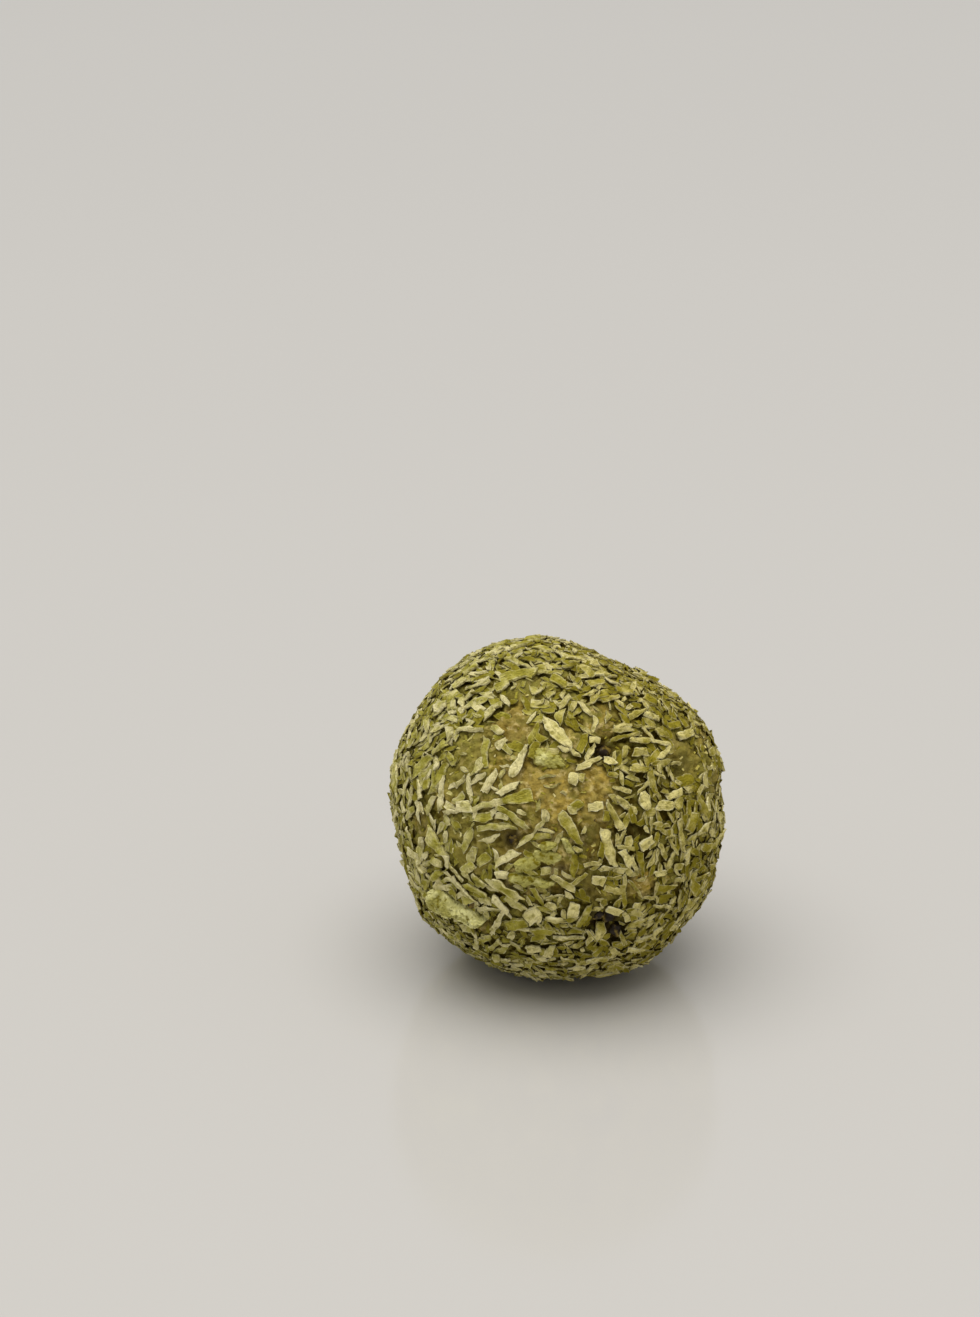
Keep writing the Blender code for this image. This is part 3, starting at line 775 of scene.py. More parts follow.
    (-14.1, 12.4, 1.6, 1.1, 20, 0, 0.55), (-10.8, 9.8, 3.2, 0.6, -3, 0, 0.65),
    (-8.3, 11.8, 1.8, 0.8, 45, 0, 0.55), (-7.4, 9.8, 1.5, 0.8, -35, 0.2, 0.5),
    (-14.8, 9.7, 1.7, 0.7, 25, 0, 0.6), (-14.5, 7.6, 2, 1, 35, 0, 0.4), (1.9, 18.9, 2.6, 1.5, -8, 0, 0.45),
    (9.2, 16.2, 3.5, 0.8, -28, 0, 0.35), (6, 16.9, 2.5, 1, -5, 0.3, 0.5),
    (2.3, 15.9, 2.6, 0.4, -62, 0, 0.5), (4.2, 14.4, 1.4, 0.6, 30, 0, 0.55),
    (4.5, 13.5, 1.7, 0.7, 50, 0, 0.5), (6.5, 13.8, 2.3, 0.8, 15, 0, 0.45), (1, 13.4, 1.6, 0.6, 40, 0, 0.6),
    (6.3, 11.4, 1.4, 0.6, 75, 0, 0.5), (10.1, 12.1, 2.3, 0.9, 25, 0.2, 0.45),
    (11.6, 11.6, 1.8, 0.6, -10, 0, 0.65), (8.3, 10.4, 2.2, 0.6, 5, 0, 0.65),
    (8.4, 9.1, 3.7, 0.6, 14, 0.2, 0.5), (8.1, 9.8, 2.2, 0.5, 8, 0, 0.6), (10.2, 8.6, 2.2, 0.8, -3, 0, 0.45),
    (11, 10.4, 2.4, 0.4, -6, 0, 0.6), (11.2, 9.4, 1.9, 0.5, -55, 0, 0.55),
    (13.1, 9.4, 2.1, 0.7, -35, 0.2, 0.5), (12.7, 8.4, 2.7, 0.6, -10, 0, 0.8),
    (13.4, 7.2, 2.3, 0.7, 50, 0, 0.75), (15.7, 9.2, 1.9, 1.1, 15, 0.1, 0.7),
    (14.3, 10.5, 1.8, 1, 15, 0.1, 0.2), (15.1, 5.9, 1.7, 0.4, -3, 0, 0.7), (12.9, 5.9, 2.4, 0.7, 8, 0, 0.5),
    (10.2, 5.1, 2.2, 1, -10, 0.2, 0.45), (12.4, 4.5, 2.2, 0.5, -25, 0.3, 0.9),
    (8.4, 7.2, 1.4, 0.6, 80, 0, 0.45), (10.3, 7.1, 1.7, 1, 0, 0, 0.4), (7.9, 5.6, 2.1, 0.45, 35, 0, 0.6),
    # the right side
    (10.8, 2.8, 2.3, 0.4, 43, 0, 0.6), (16.1, 3.7, 2, 1.5, 20, 0.1, 0.05),
    (10.9, 1.1, 2.2, 1.7, -70, 0.2, 0.9, 0.3), (13.3, 0.6, 2.1, 1.4, 5, 0.1, 0.8, 0.2),
    (14.6, 2.1, 1.9, 0.9, 25, 0.2, 0.75), (15, 0.9, 1.5, 1.1, 60, 0, 0.3), (18, 0.4, 3, 1.1, -60, 0.2, 0.3),
    (16.5, -1.4, 2.4, 1.5, 80, 0.3, 0.35), (15.4, -3.1, 4, 0.8, -80, 0.1, 0.6),
    (18, -2.3, 1.9, 0.8, 45, 0, 0.7), (20.1, -3, 1.9, 0.9, 48, 0, 0.8), (18.5, -4.5, 1.8, 1, -5, 0, 0.45),
    (11, -4, 1.7, 1.2, 40, 0, 0.95), (12, -4.2, 1.7, 0.5, 45, 0, 0.6), (13, -2.4, 1.5, 0.6, -30, 0, 0.5),
    (14, -3.2, 1.3, 0.3, 15, 0, 0.6), (14.2, -4.4, 2.4, 0.4, -58, 0, 0.5), (11, -1, 1.7, 0.4, -80, 0, 0.6),
    (11.6, -2, 2.3, 0.3, 88, 0, 0.7), (10.5, -6.5, 2.8, 0.9, -80, 0.3, 0.3),
    (13.1, -5, 2, 0.7, -62, 0.2, 0.5), (12.4, -5.6, 2, 0.3, 88, 0, 0.6), (14.1, -6.1, 2, 0.6, 75, 0, 0.5),
    (15, -6.9, 1.1, 0.9, 0, 0, 0.6), (12.7, -7.7, 1.5, 0.6, 5, 0, 0.75), (17.8, -8.1, 1.7, 0.7, 25, 0, 0.5),
    (17, -9.5, 2.5, 1.6, -55, 0.3, 0.3), (9.6, -9.6, 2.5, 0.35, -52, 0, 0.6),
    (11.2, -10.6, 1.6, 0.4, 0, 0, 0.6), (12.2, -9.5, 1.6, 0.6, 75, 0.3, 0.55),
    (13.5, -9.4, 2.2, 1, 10, 0, 0.2), (15.2, -10.9, 2, 0.7, 88, 0, 0.4),
    # the lower right and the underside
    (9.9, -11.5, 0.9, 0.8, 0, 0, 0.6), (10, -13.5, 2.9, 0.9, 28, 0.1, 0.45),
    (12.9, -11.7, 2.2, 0.4, -10, 0, 0.7), (12.6, -13.5, 2.2, 0.8, 60, 0.3, 0.5),
    (15.2, -12.8, 3, 0.7, 60, 0.3, 0.5), (11, -15.4, 2.3, 0.8, 25, 0.4, 0.7),
    (9.4, -16.8, 1.5, 0.8, -8, 0, 0.8), (7.5, -17.1, 2.1, 0.6, -28, 0, 0.6),
    (4.5, -15.6, 1.8, 0.35, -50, 0, 0.5), (1.7, -15.7, 3.5, 0.9, 0, 0.3, 0.65),
    (5.1, -18, 2.6, 0.9, 5, 0, 0.65), (6.6, -18.9, 1.5, 0.7, 75, 0, 0.5),
    (6.2, -19.6, 2.9, 0.5, 15, 0, 0.6), (1, -20.2, 2.5, 0.4, -20, 0, 0.5),
    (1.7, -18.2, 1.9, 0.6, -15, 0, 0.6), (3, -19.1, 1.1, 0.9, 0, 0, 0.7),
    (-3.5, -14.7, 1.9, 0.5, -5, 0, 0.85), (-1.5, -15, 2.4, 1.2, 0, 0, 0.15),
    (-4.5, -17, 2.3, 0.5, -38, 0, 0.5), (-2.6, -17, 1.8, 1.2, 0, 0.1, 0.65),
    (-0.7, -17.3, 1.9, 1.1, 65, 0.2, 0.85), (-1.8, -18.5, 3.6, 0.6, 8, 0.2, 0.6),
    (-0.3, -19.2, 2, 1, 0, 0, 0.15),
)
LEAST_LIFT = 0.12 * MM  # of a shaving's middle above the dough
PALE_LIFT = 0.20 * MM  # the pale ones lie on top of the coat, with less green dust on them
TINTS = (0.08, 1.12)  # of the greenest and the palest
STACKING = 0.12 * MM
THICKNESS = (0.34 * MM, 0.62 * MM)
THICKENING = (0.18 * MM, 0.38)  # between those limits: this much, and this share of the width
BLOCK = 1.9  # what is shorter than this many widths is a stiff little block
STATIONS = (8, 18, 3.2 / MM)  # rows of points along a shaving: at least, at most, and for each metre
COLUMNS = 5  # and points across it
BEND_LIMITS = {
    "bow": (-0.05, 0.05), "bend": (-0.04, 0.04), "cup": (-0.15, 0.15), "lip": (-0.15, 0.25),
    "twist": (-0.4, 0.4),
}
STIFF = 0.4  # the share of that bending which a block or an oval shows
LEAF = (0.0, 0.15)
SMOOTH_EDGE = 0.03
TORN_EDGE = 0.11
OVAL_ENDS = (0.45, 0.50)
BLOCK_ENDS = (0.85, 0.85)
TIP = math.radians(5)
CALM_LENGTH = 2.5 * MM  # what is longer than this tips less
ROLL = math.radians(14)
BROAD_CRINKLE = (1.0 * MM, 0.25 * MM)  # size and height
FINE_CRINKLE = (0.50 * MM, 0.12 * MM)
CRINKLE_SEED = 3
OFF_FLOOR = 0.1 * MM  # no shaving or clump comes nearer to the floor
CLEAR_ROUND = 0.05 * MM  # the scattered coat starts this far outside a shaving
LEAST_DEPTH = 0.12 * DOUGH_RADIUS  # for what shows at the very edge of the ball
STEEPEST = 0.5  # cosine of the slope, away from the view, up to which a piece is stretched to show its length
LONGEST = 1.5  # the most that it is stretched
SHAVING_SEEDS = (31, 32)  # of the front and of the back


def way_seen_at(across, up, right, upward, near):
    """The unit vector from the ball's centre to what shows so far across and up, looking along -near."""
    depth = 0.0
    for _ in range(3):
        closer = 1 - depth / EYE_DISTANCE
        x, y = across * closer, up * closer
        depth = math.sqrt(max(DOUGH_RADIUS**2 - x * x - y * y, LEAST_DEPTH**2))
    return (right * x + upward * y + near * depth).normalized()


def lay(points, way, turn, lift, tip=0.0, roll=0.0, stiff=True):
    """Lays a piece that is level in XY on the slope of the dough, or if limp along its every dent."""
    spots = np.array(points)
    sideways = np.array(way.cross(turn))
    flat = np.array(way) * DOUGH_RADIUS + spots[:, :1] * np.array(turn) + spots[:, 1:2] * sideways
    ways = flat / np.linalg.norm(flat, axis=1)[:, None]
    reach = dough_radius(ways)
    if stiff:
        # the flat slope that comes nearest to the dough under the piece
        level = np.column_stack([spots[:, :2], np.full(len(spots), MM)])
        reach = level @ np.linalg.lstsq(level, reach, rcond=None)[0]
    out = reach + lift + spots[:, 2] + spots[:, 0] * math.tan(tip) + spots[:, 1] * math.tan(roll)
    return np.array(BALL_CENTRE) + ways * out[:, None]


def spot(across, up, degrees, right, upward, near):
    """The way to a piece that shows there at that turn, the way it points, and how much longer it is."""
    way = way_seen_at(across * MM, up * MM, right, upward, near)
    seen = right * math.cos(math.radians(degrees)) + upward * math.sin(math.radians(degrees))
    # leans the piece's length into the surface, so that it still shows at that turn
    turn = seen - near * (seen.dot(way) / max(STEEPEST, near.dot(way)))
    return way, (turn - way * turn.dot(way)).normalized(), min(turn.length, LONGEST)


noise.seed_set(CRINKLE_SEED)


def crinkled(places, size, height):
    """Those places, each moved a little along a noise with folds of that size."""
    return places + np.array([noise.noise_vector(Vector(place) / size) for place in places]) * height


def new_pile():
    return {"points": [], "faces": [], "marks": {}}


def add_piece(pile, places, faces, marks):
    """Adds a piece to those that become one mesh."""
    first = len(pile["points"])
    pile["points"] += places.tolist()
    pile["faces"] += [[first + corner for corner in face] for face in faces]
    for label, numbers in marks.items():
        pile["marks"].setdefault(label, []).extend(numbers)


shaving_pile = new_pile()
footprints = []


def lay_shavings(right, upward, near, draw):
    """Lays every shaving of the table on the side of the ball that faces near."""
    for across, up, length, width, degrees, taper, pale, *oval in SHAVINGS:
        way, turn, longer = spot(across, up, degrees, right, upward, near)
        if oval:
            leaf, ragged, ends = oval[0], SMOOTH_EDGE, OVAL_ENDS
        elif length < BLOCK * width:
            leaf, ragged, ends = 0.0, SMOOTH_EDGE, BLOCK_ENDS
        else:
            leaf, ragged, ends = draw.uniform(*LEAF), TORN_EDGE, None
        curl = STIFF if ends else 1.0
        bends = {label: draw.uniform(*limits) * curl for label, limits in BEND_LIMITS.items()}
        length *= MM * longer
        width *= MM
        thick = min(max(THICKENING[0] + THICKENING[1] * width, THICKNESS[0]), THICKNESS[1])
        stations = min(max(round(STATIONS[2] * length), STATIONS[0]), STATIONS[1])
        shape = {"taper": taper, "leaf": leaf, "ragged": ragged, "ends": ends}
        points, faces, marks = shard(draw, length, width, thick, stations, COLUMNS, **shape, **bends)
        lift = LEAST_LIFT + PALE_LIFT * pale + draw.uniform(0, STACKING)
        tip = draw.uniform(-TIP, TIP) * min(1.0, CALM_LENGTH / length)
        places = lay(points, way, turn, lift, tip, draw.uniform(-ROLL, ROLL))
        places = crinkled(crinkled(places, *BROAD_CRINKLE), *FINE_CRINKLE)
        if places[:, 2].min() < OFF_FLOOR:
            continue
        marks["tint"] = [TINTS[0] + (TINTS[1] - TINTS[0]) * pale] * len(points)
        add_piece(shaving_pile, places, faces, marks)
        footprints.append((way, turn, length / 2 + CLEAR_ROUND, width / 2 + CLEAR_ROUND))


BACK_ROLL = math.radians(140)  # the table is laid on the back under another turn
back_right = right_in_view * math.cos(BACK_ROLL) + up_in_view * math.sin(BACK_ROLL)
FRONT = (right_in_view, up_in_view, to_eye)
BACK = (back_right, (-to_eye).cross(back_right), -to_eye)
for side, seed in zip((FRONT, BACK), SHAVING_SEEDS):
    lay_shavings(*side, random.Random(seed))

shavings = new_object("coconut_shavings", coconut_mesh("coconut_shavings", **shaving_pile))
shavings.data.materials.append(coconut)
rest_on_floor(shavings)
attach(shavings, "root")


# The clumps. Where the coat was damp it balled up: into a pale ridge of crumbly tea and coconut low on the
# left of the front, and into soft green lumps round its middle. The same lie on the back.
CLUMPS = (  # across, up, turn, length, width, thickness, paleness
    (-13.5, -11.8, -26, 4.8, 3.9, 1.40, 0.52),
    (-10.9, -13.15, -20, 4.6, 3.0, 1.15, 0.60),
    (-0.8, 6.2, -22, 3.6, 2.5, 0.80, 0.12),
    (-0.9, -5.85, -5, 3.3, 1.6, 0.85, 0.12),
    (-3.4, -6.75, 10, 3.2, 1.7, 0.75, 0.20),
    (-3.0, -8.8, -9, 5.2, 1.7, 0.75, 0.15),
    (-1.1, -4.5, 5, 1.9, 1.3, 0.90, 0.15),
    (1.5, -4.4, -50, 2.1, 1.2, 0.90, 0.12),
)
CLUMP_SHAPE = {"taper": 0.30, "leaf": 0.30, "cup": -0.16, "ragged": 0.05, "ends": (0.75, 0.65)}
CLUMP_LIFT = 0.42  # of its thickness above the dough
LUMP_SIZE = 1.7 * MM
LUMP_SHARE = 0.19  # how high its lumps are, of its thickness and the next number together
LUMP_BASE = 1.2 * MM
CLUMP_GRAINS = (0.42 * MM, 0.16 * MM)  # size and height
CLUMP_GRID = 7 / MM  # rows of points for each metre, along and across
LEAST_GRID = (14, 10)
CLUMP_COVER = (0.46, 0.42)  # of its length and width, to each side, the scattered coat leaves free
STREWN = 0.55  # from this paleness on, loose crumbs lie on a clump
POWDER_GREEN = (0.490, 0.455, 0.120, 1)
POWDER_PALE = (0.920, 0.885, 0.400, 1)
PALE_CLOTS = (520, 0.38, 0.62)  # stains, as on the dough, that a paler clump shows more of
PALE_GAIN = 0.40
DUSTY_CLOTS = (1300, 0.54, 0.72)  # and those that it shows less of
DUSTY_LOSS = 0.18
POWDER_GRIT = (2200, 3.0)  # scale and detail
POWDER_DEPTH = 0.36 * MM
CLUMP_SEED = 61

powder, nodes, shader = new_finish("tea_powder", shine=0.05, roughness=0.9)
where = coordinates(nodes)
paler = math_node(nodes, "SUBTRACT", attribute(nodes, "tint"), 0.5)
pale_share = math_node(nodes, "MULTIPLY", paler, PALE_GAIN)
pale_share = math_node(nodes, "ADD", speckle(nodes, where, PALE_CLOTS[0]), pale_share)
powdered = blend_colour(nodes, ramp(nodes, pale_share, *PALE_CLOTS[1:]), POWDER_GREEN, POWDER_PALE)
dust_share = math_node(nodes, "MULTIPLY", paler, DUSTY_LOSS)
dust_share = math_node(nodes, "SUBTRACT", speckle(nodes, where, DUSTY_CLOTS[0]), dust_share)
powdered = blend_colour(nodes, ramp(nodes, dust_share, *DUSTY_CLOTS[1:]), powdered, TEA_DUST)
paint(nodes, shader, powdered, speckle(nodes, where, *POWDER_GRIT), POWDER_DEPTH)

clump_pile = new_pile()
draw = random.Random(CLUMP_SEED)
for side in (FRONT, BACK):
    for across, up, degrees, length, width, thick, pale in CLUMPS:
        way, turn, _ = spot(across, up, degrees, *side)
        length *= MM
        width *= MM
        thick *= MM
        stations = max(LEAST_GRID[0], round(length * CLUMP_GRID))
        columns = max(LEAST_GRID[1], round(width * CLUMP_GRID))
        points, faces, _ = shard(draw, length, width, thick, stations, columns, **CLUMP_SHAPE)
        places = lay(points, way, turn, CLUMP_LIFT * thick, stiff=False)
        places = crinkled(places, LUMP_SIZE, LUMP_SHARE * (thick + LUMP_BASE))
        places = crinkled(places, *CLUMP_GRAINS)
        if places[:, 2].min() < OFF_FLOOR:
            continue
        clean = float(pale < STREWN)
        add_piece(clump_pile, places, faces, {"tint": [pale] * len(points), "taken": [clean] * len(points)})
        footprints.append((way, turn, CLUMP_COVER[0] * length, CLUMP_COVER[1] * width))

clumps = new_object("tea_clumps", coconut_mesh("tea_clumps", **clump_pile))
clumps.data.materials.append(powder)
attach(clumps, "root")


# The dark bits. Scraps of date skin and seed that show in the pits and in a gap of the coat, nearly black
# and a little shiny.
DARK_BITS = (  # azimuth, elevation, radius, how deep below the dough's surface its middle lies
    (22.5, 42.5, 0.95 * MM, 0.15 * MM),
    (15.3, -15.8, 0.70 * MM, 0.35 * MM),
    (20.0, -18.3, 0.90 * MM, 0.40 * MM),
    (23.2, -24.0, 0.90 * MM, 0.40 * MM),
    (-15.0, 13.0, 0.80 * MM, 0.45 * MM),
    (13.5, 19.5, 0.45 * MM, 0.20 * MM),
    (-30.1, -13.3, 0.55 * MM, 0.05 * MM),
    (150.0, 12.0, 0.90 * MM, 0.30 * MM),
    (-118.0, -8.0, 0.80 * MM, 0.25 * MM),
    (-160.0, 40.0, 0.50 * MM, 0.15 * MM),
)
DATE_SKIN = (0.022, 0.013, 0.006, 1)
SKIN_STAINS = (1100, 0.45, 0.70)
BIT_LUMPS = (0.9, 0.45)  # size and height, as shares of the radius

skin, nodes, shader = new_finish("date_skin", shine=0.25)
where = coordinates(nodes)
skin_tone = blend_colour(nodes, stains(nodes, where, *SKIN_STAINS), DATE_SKIN, BROWN)
nodes.links.new(skin_tone, shader.inputs["Base Color"])

form = bmesh.new()
for azimuth, elevation, radius, depth in DARK_BITS:
    way = facing(azimuth, elevation)
    middle = BALL_CENTRE + way * (dough_radius(np.array([way]))[0] - depth)
    made = bmesh.ops.create_icosphere(form, subdivisions=4, radius=radius)
    for corner in made["verts"]:
        lump = 1 + BIT_LUMPS[1] * noise.noise((corner.co + middle) / (BIT_LUMPS[0] * radius))
        corner.co = middle + corner.co * lump
dark_bits = new_object("dark_bits", mesh_of(form, "dark_bits"))
dark_bits.data.shade_smooth()
dark_bits.data.materials.append(skin)
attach(dark_bits, "root")


# The rest of the coat. What is too small to place one by one is scattered over the dough: pieces of a few
# shapes, each turned, leaned, raised and warped in its own way, fewer where the dough lies bare, and none
# under a shaving, in a pit or on the painted shade of a dark place. Every kind of piece below is scattered by
# the same recipe.
PIT_AND_SHADE_SHARE = 0.5  # where a place is darker than this, nothing is scattered
MOST_PER_AREA = 4.0e6  # places on a square metre, before the spacing thins them
DRIFT = (110.0, 16.0)  # how fast and how far the way that pieces lie changes over the ball
SPIN = 0.9  # radians to each side of that
RIPPLE = 720.0  # scale of the folds that warp every piece

spots = dough_ways * DOUGH_RADIUS
taken = np.zeros(len(spots))
for way, turn, half_length, half_width in footprints:
    from_middle = spots - np.array(way) * DOUGH_RADIUS
    beside = np.abs(from_middle @ np.array(way.cross(turn))) < half_width
    inside = beside & (np.abs(from_middle @ np.array(turn)) < half_length)
    taken[inside & (spots @ np.array(way) > 0)] = 1
# No coat is scattered in the pits or on the painted shade of the dark places.
pit_and_shade_values = np.empty(len(spots))
dough_mesh.attributes["pit_and_shade"].data.foreach_get("value", pit_and_shade_values)
taken[pit_and_shade_values > PIT_AND_SHADE_SHARE] = 1
for ground in (dough_mesh, dough.data):
    ground.attributes.new("taken", "FLOAT", "POINT").data.foreach_set("value", taken)


def kinds(name, count, seed, make):
    """A collection of that many different pieces, for the scattering to pick from."""
    draw = random.Random(seed)
    group = bpy.data.collections.new(name)
    bpy.context.scene.collection.children.link(group)
    for i in range(count):
        label = f"{name}_{i}"
        group.objects.link(bpy.data.objects.new(label, make(label, draw)))
    return group


def shard_kinds(name, count, seed, sizes, bends, **shape):
    """Such a collection of shards. The sizes are limits of length, width and thickness in millimetres."""

    def make(label, draw):
        length, width, thick = [draw.uniform(*limits) * MM for limits in sizes]
        bent = {part: draw.uniform(*limits) for part, limits in bends.items()}
        return coconut_mesh(label, *shard(draw, length, width, thick, **bent, **shape))

    return kinds(name, count, seed, make)


def discard(group):
    for piece in list(group.objects):
        bpy.data.objects.remove(piece)
    bpy.data.collections.remove(group)


def draw_float(tree, low, high, seed, row):
    """A number for each piece, from a row of draws of its own."""
    row_seed = math_node(tree, "ADD", seed, float(row))
    return add(tree, "FunctionNodeRandomValue", {2: low, 3: high, 8: row_seed}, data_type="FLOAT").outputs[1]


def turned(tree, rotation, x, y, z):
    """That rotation, turned on by those angles about its own axes."""
    further = add(tree, "FunctionNodeEulerToRotation", {0: joined(tree, x, y, z)}).outputs[0]
    rotations = {0: rotation, 1: further}
    return add(tree, "FunctionNodeRotateRotation", rotations, rotation_space="LOCAL").outputs[0]


COATING_FLOATS = (
    "Spacing", "Keep", "Bare Keep", "Least Scale", "Most Scale", "Lean", "Least Lift", "Most Lift",
    "Least Tint", "Most Tint", "Warp", "Clear Height",
)
coating_inputs = {
    "Shards": "Collection", **dict.fromkeys(COATING_FLOATS, "Float"), "Seed": "Int", "Finish": "Material",
}
coating, given, result = new_tree("coating", coating_inputs)
size = given.outputs
seed = size["Seed"]
place = add(coating, "GeometryNodeInputPosition").outputs[0]
height = add(coating, "ShaderNodeSeparateXYZ", {0: place}).outputs[2]
off_floor = math_node(coating, "GREATER_THAN", height, size["Clear Height"])
here = between(coating, stored(coating, "bare"), size["Keep"], size["Bare Keep"])
open_place = math_node(coating, "SUBTRACT", 1.0, stored(coating, "taken"))
here = math_node(coating, "MULTIPLY", here, open_place)
here = math_node(coating, "MULTIPLY", here, off_floor)
spread = add(
    coating,
    "GeometryNodeDistributePointsOnFaces",
    {
        "Mesh": size[0],
        "Distance Min": size["Spacing"],
        "Density Max": MOST_PER_AREA,
        "Density Factor": here,
        "Seed": seed,
    },
    distribute_method="POISSON",
)
drift = math_node(coating, "MULTIPLY", speckle(coating, place, DRIFT[0], 0.0), DRIFT[1])
spin = math_node(coating, "ADD", drift, draw_float(coating, -SPIN, SPIN, seed, 0))
lean = size["Lean"]
back = math_node(coating, "MULTIPLY", lean, -1.0)
lean_x = draw_float(coating, back, lean, seed, 1)
lean_y = draw_float(coating, back, lean, seed, 2)
spun = turned(coating, spread.outputs["Rotation"], 0.0, 0.0, spin)
shards = add(coating, "GeometryNodeCollectionInfo", {0: size["Shards"], 1: True, 2: True})
scale = draw_float(coating, size["Least Scale"], size["Most Scale"], seed, 3)
laid = add(
    coating,
    "GeometryNodeInstanceOnPoints",
    {
        "Points": spread.outputs["Points"],
        "Instance": shards.outputs[0],
        "Pick Instance": True,
        "Rotation": turned(coating, spun, lean_x, lean_y, 0.0),
        "Scale": joined(coating, scale, scale, scale),
    },
)
lift = draw_float(coating, size["Least Lift"], size["Most Lift"], seed, 4)
outward = vector_node(coating, "SUBTRACT", {0: place, 1: tuple(BALL_CENTRE)})
outward = vector_node(coating, "NORMALIZE", {0: outward})
outward = vector_node(coating, "SCALE", {0: outward, "Scale": lift})
raised = add(
    coating,
    "GeometryNodeTranslateInstances",
    {"Instances": laid.outputs[0], "Translation": outward, "Local Space": False},
)
tint = draw_float(coating, size["Least Tint"], size["Most Tint"], seed, 5)
tinted = add(
    coating,
    "GeometryNodeStoreNamedAttribute",
    {"Geometry": raised.outputs[0], "Name": "tint", "Value": tint},
    data_type="FLOAT",
    domain="INSTANCE",
)
loose = add(coating, "GeometryNodeRealizeInstances", {0: tinted.outputs[0]})
folds = add(coating, "ShaderNodeTexNoise", {"Vector": place, "Scale": RIPPLE, "Detail": 1.0})
ripple = vector_node(coating, "SUBTRACT", {0: folds.outputs["Color"], 1: (0.5, 0.5, 0.5)})
ripple = vector_node(coating, "SCALE", {0: ripple, "Scale": size["Warp"]})
warped = add(coating, "GeometryNodeSetPosition", {"Geometry": loose.outputs[0], "Offset": ripple})
finished = add(
    coating,
    "GeometryNodeSetMaterial",
    {"Geometry": warped.outputs[0], "Material": size["Finish"]},
)
coating.links.new(finished.outputs[0], result.inputs[0])


def scatter(name, base, shards, finish, seed, spacing, keep, scale, lean, lift, tint, warp, clear):
    """Scatters pieces of those shards over the base and presses them down to the floor.

    keep is the share of the places that stay, where the dough is coated and where it lies bare. scale, lift
    and tint run from least to most, lean is in radians, and below the height clear nothing is scattered.
    """
    values = (spacing, *keep, *scale, lean, *lift, *tint, warp, clear)
    sizes = {"Shards": shards, **dict(zip(COATING_FLOATS, values)), "Seed": seed, "Finish": finish}
    piece = grow(name, base, coating, sizes)
    rest_on_floor(piece)
    return piece


# The pressed flakes. Broad thin flakes pushed half into the dough, so thick with tea that they look like
# a part of it. They make the scaly ground that everything else lies on.
flake_kinds = shard_kinds(
    "flake", 14, 41,
    sizes=((1.4, 2.5), (0.85, 1.45), (0.26, 0.36)),
    bends={
        "taper": (0.0, 0.5), "leaf": (0.0, 0.3), "bow": (-0.08, 0.08), "bend": (-0.08, 0.02),
        "cup": (-0.15, 0.08), "lip": (-0.10, 0.20), "twist": (-0.4, 0.4),
    },
    ragged=0.10,
)
flakes = scatter(
    "pressed_flakes", smooth_dough, flake_kinds, coconut, seed=52,
    spacing=1.20 * MM, keep=(0.95, 0.0), scale=(0.6, 1.15), lean=0.20,
    lift=(-0.08 * MM, 0.16 * MM), tint=(-0.10, 0.65), warp=0.35 * MM, clear=0.8 * MM,
)
discard(flake_kinds)
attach(flakes, "root")


# The chips. Broken pieces of flesh of every size, most of the coat, lying every way and partly on each
# other. From one to the next they run from tea green to nearly white.
chip_kinds = shard_kinds(
    "chip", 20, 22,
    sizes=((1.1, 2.1), (0.60, 1.15), (0.34, 0.50)),
    bends={
        "taper": (0.0, 0.4), "leaf": (0.0, 0.2), "bow": (-0.10, 0.10), "bend": (-0.06, 0.05),
        "cup": (-0.10, 0.20), "lip": (-0.10, 0.25), "twist": (-0.5, 0.5),
    },
    ragged=0.12,
)
chips = scatter(
    "coconut_chips", smooth_dough, chip_kinds, coconut, seed=14,
    spacing=1.05 * MM, keep=(0.88, 0.0), scale=(0.5, 1.15), lean=0.25,
    lift=(0.02 * MM, 0.32 * MM), tint=(-0.05, 1.05), warp=0.24 * MM, clear=0.8 * MM,
)
discard(chip_kinds)
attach(chips, "root")


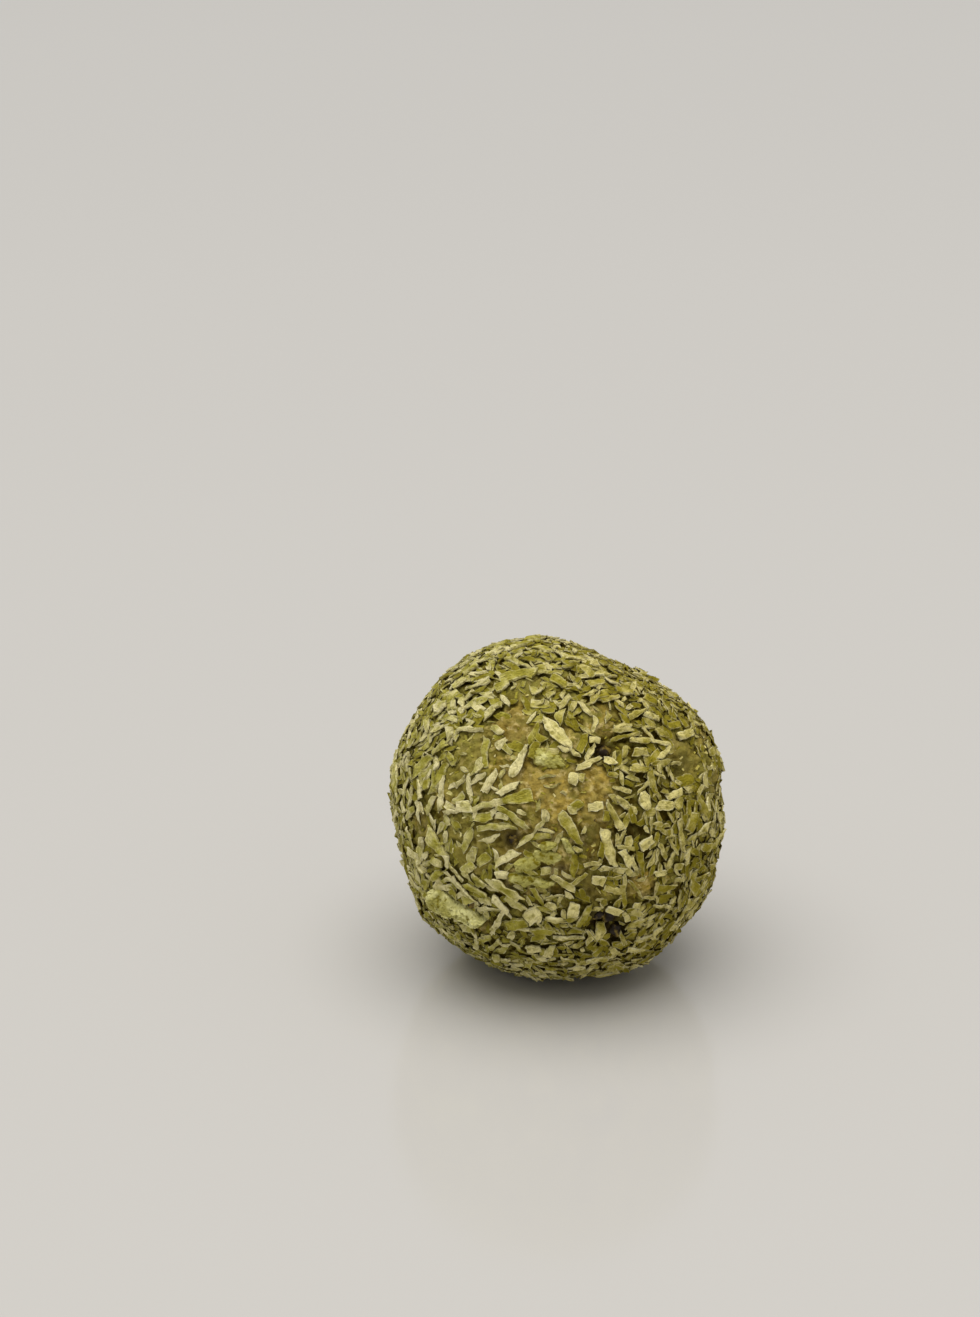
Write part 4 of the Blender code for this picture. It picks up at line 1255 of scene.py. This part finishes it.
# The slivers. Thin splinters of flesh that lie across the chips, up to two millimetres long, more twisted
# than the rest and mostly tapered to a point.
sliver_kinds = shard_kinds(
    "sliver", 14, 23,
    sizes=((0.9, 2.0), (0.26, 0.44), (0.22, 0.32)),
    bends={"taper": (0.1, 0.8), "bow": (-0.14, 0.14), "bend": (-0.06, 0.05), "twist": (-0.8, 0.8)},
    columns=2,
)
slivers = scatter(
    "coconut_slivers", smooth_dough, sliver_kinds, coconut, seed=27,
    spacing=1.8 * MM, keep=(0.85, 0.0), scale=(0.6, 1.0), lean=0.20,
    lift=(0.15 * MM, 0.40 * MM), tint=(0.2, 0.95), warp=0.30 * MM, clear=0.9 * MM,
)
discard(sliver_kinds)
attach(slivers, "root")


# The crumbs on the clumps. Angular bits no longer than a grain of sugar, dusted like the clump that they
# came loose from. They lie on the pale half of the ridge.
CRUMB_SIZES = ((0.5, 1.1), (0.22, 0.5), (0.18, 0.30))  # limits in millimetres, along each edge
CRUMB_CORNERS = (0.4, 1.5)  # how far in or out each corner was broken, as a multiple


def crumb(name, draw):
    form = bmesh.new()
    bmesh.ops.create_cube(form, size=1.0)
    stretch = Vector([draw.uniform(*limits) for limits in CRUMB_SIZES]) * MM
    for corner in form.verts:
        corner.co = Vector([c * s * draw.uniform(*CRUMB_CORNERS) for c, s in zip(corner.co, stretch)])
    mesh = mesh_of(form, name)
    for label, value in (("along", 0.5), ("across", 0.0), ("under", 0.0)):
        mesh.attributes.new(label, "FLOAT", "POINT").data.foreach_set("value", [value] * len(mesh.vertices))
    return mesh


crumb_kinds = kinds("crumb", 16, 21, crumb)
meal = scatter(
    "clump_crumbs", clumps, crumb_kinds, powder, seed=7,
    spacing=0.45 * MM, keep=(0.5, 0.5), scale=(0.3, 0.65), lean=0.5,
    lift=(0.0, 0.06 * MM), tint=(0.4, 0.8), warp=0.10 * MM, clear=0.3 * MM,
)
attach(meal, "root")


# The crumbs. The same angular bits, of plain coconut, that fill the ground between the rest of the coat and
# lie thinly on the bare dough too.
crumbs = scatter(
    "coconut_crumbs", dough, crumb_kinds, coconut, seed=3,
    spacing=0.65 * MM, keep=(0.35, 0.35), scale=(0.25, 0.85), lean=0.4,
    lift=(0.0, 0.18 * MM), tint=(0.0, 0.8), warp=0.10 * MM, clear=0.3 * MM,
)
discard(crumb_kinds)
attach(crumbs, "root")

bpy.data.objects.remove(smooth_dough)
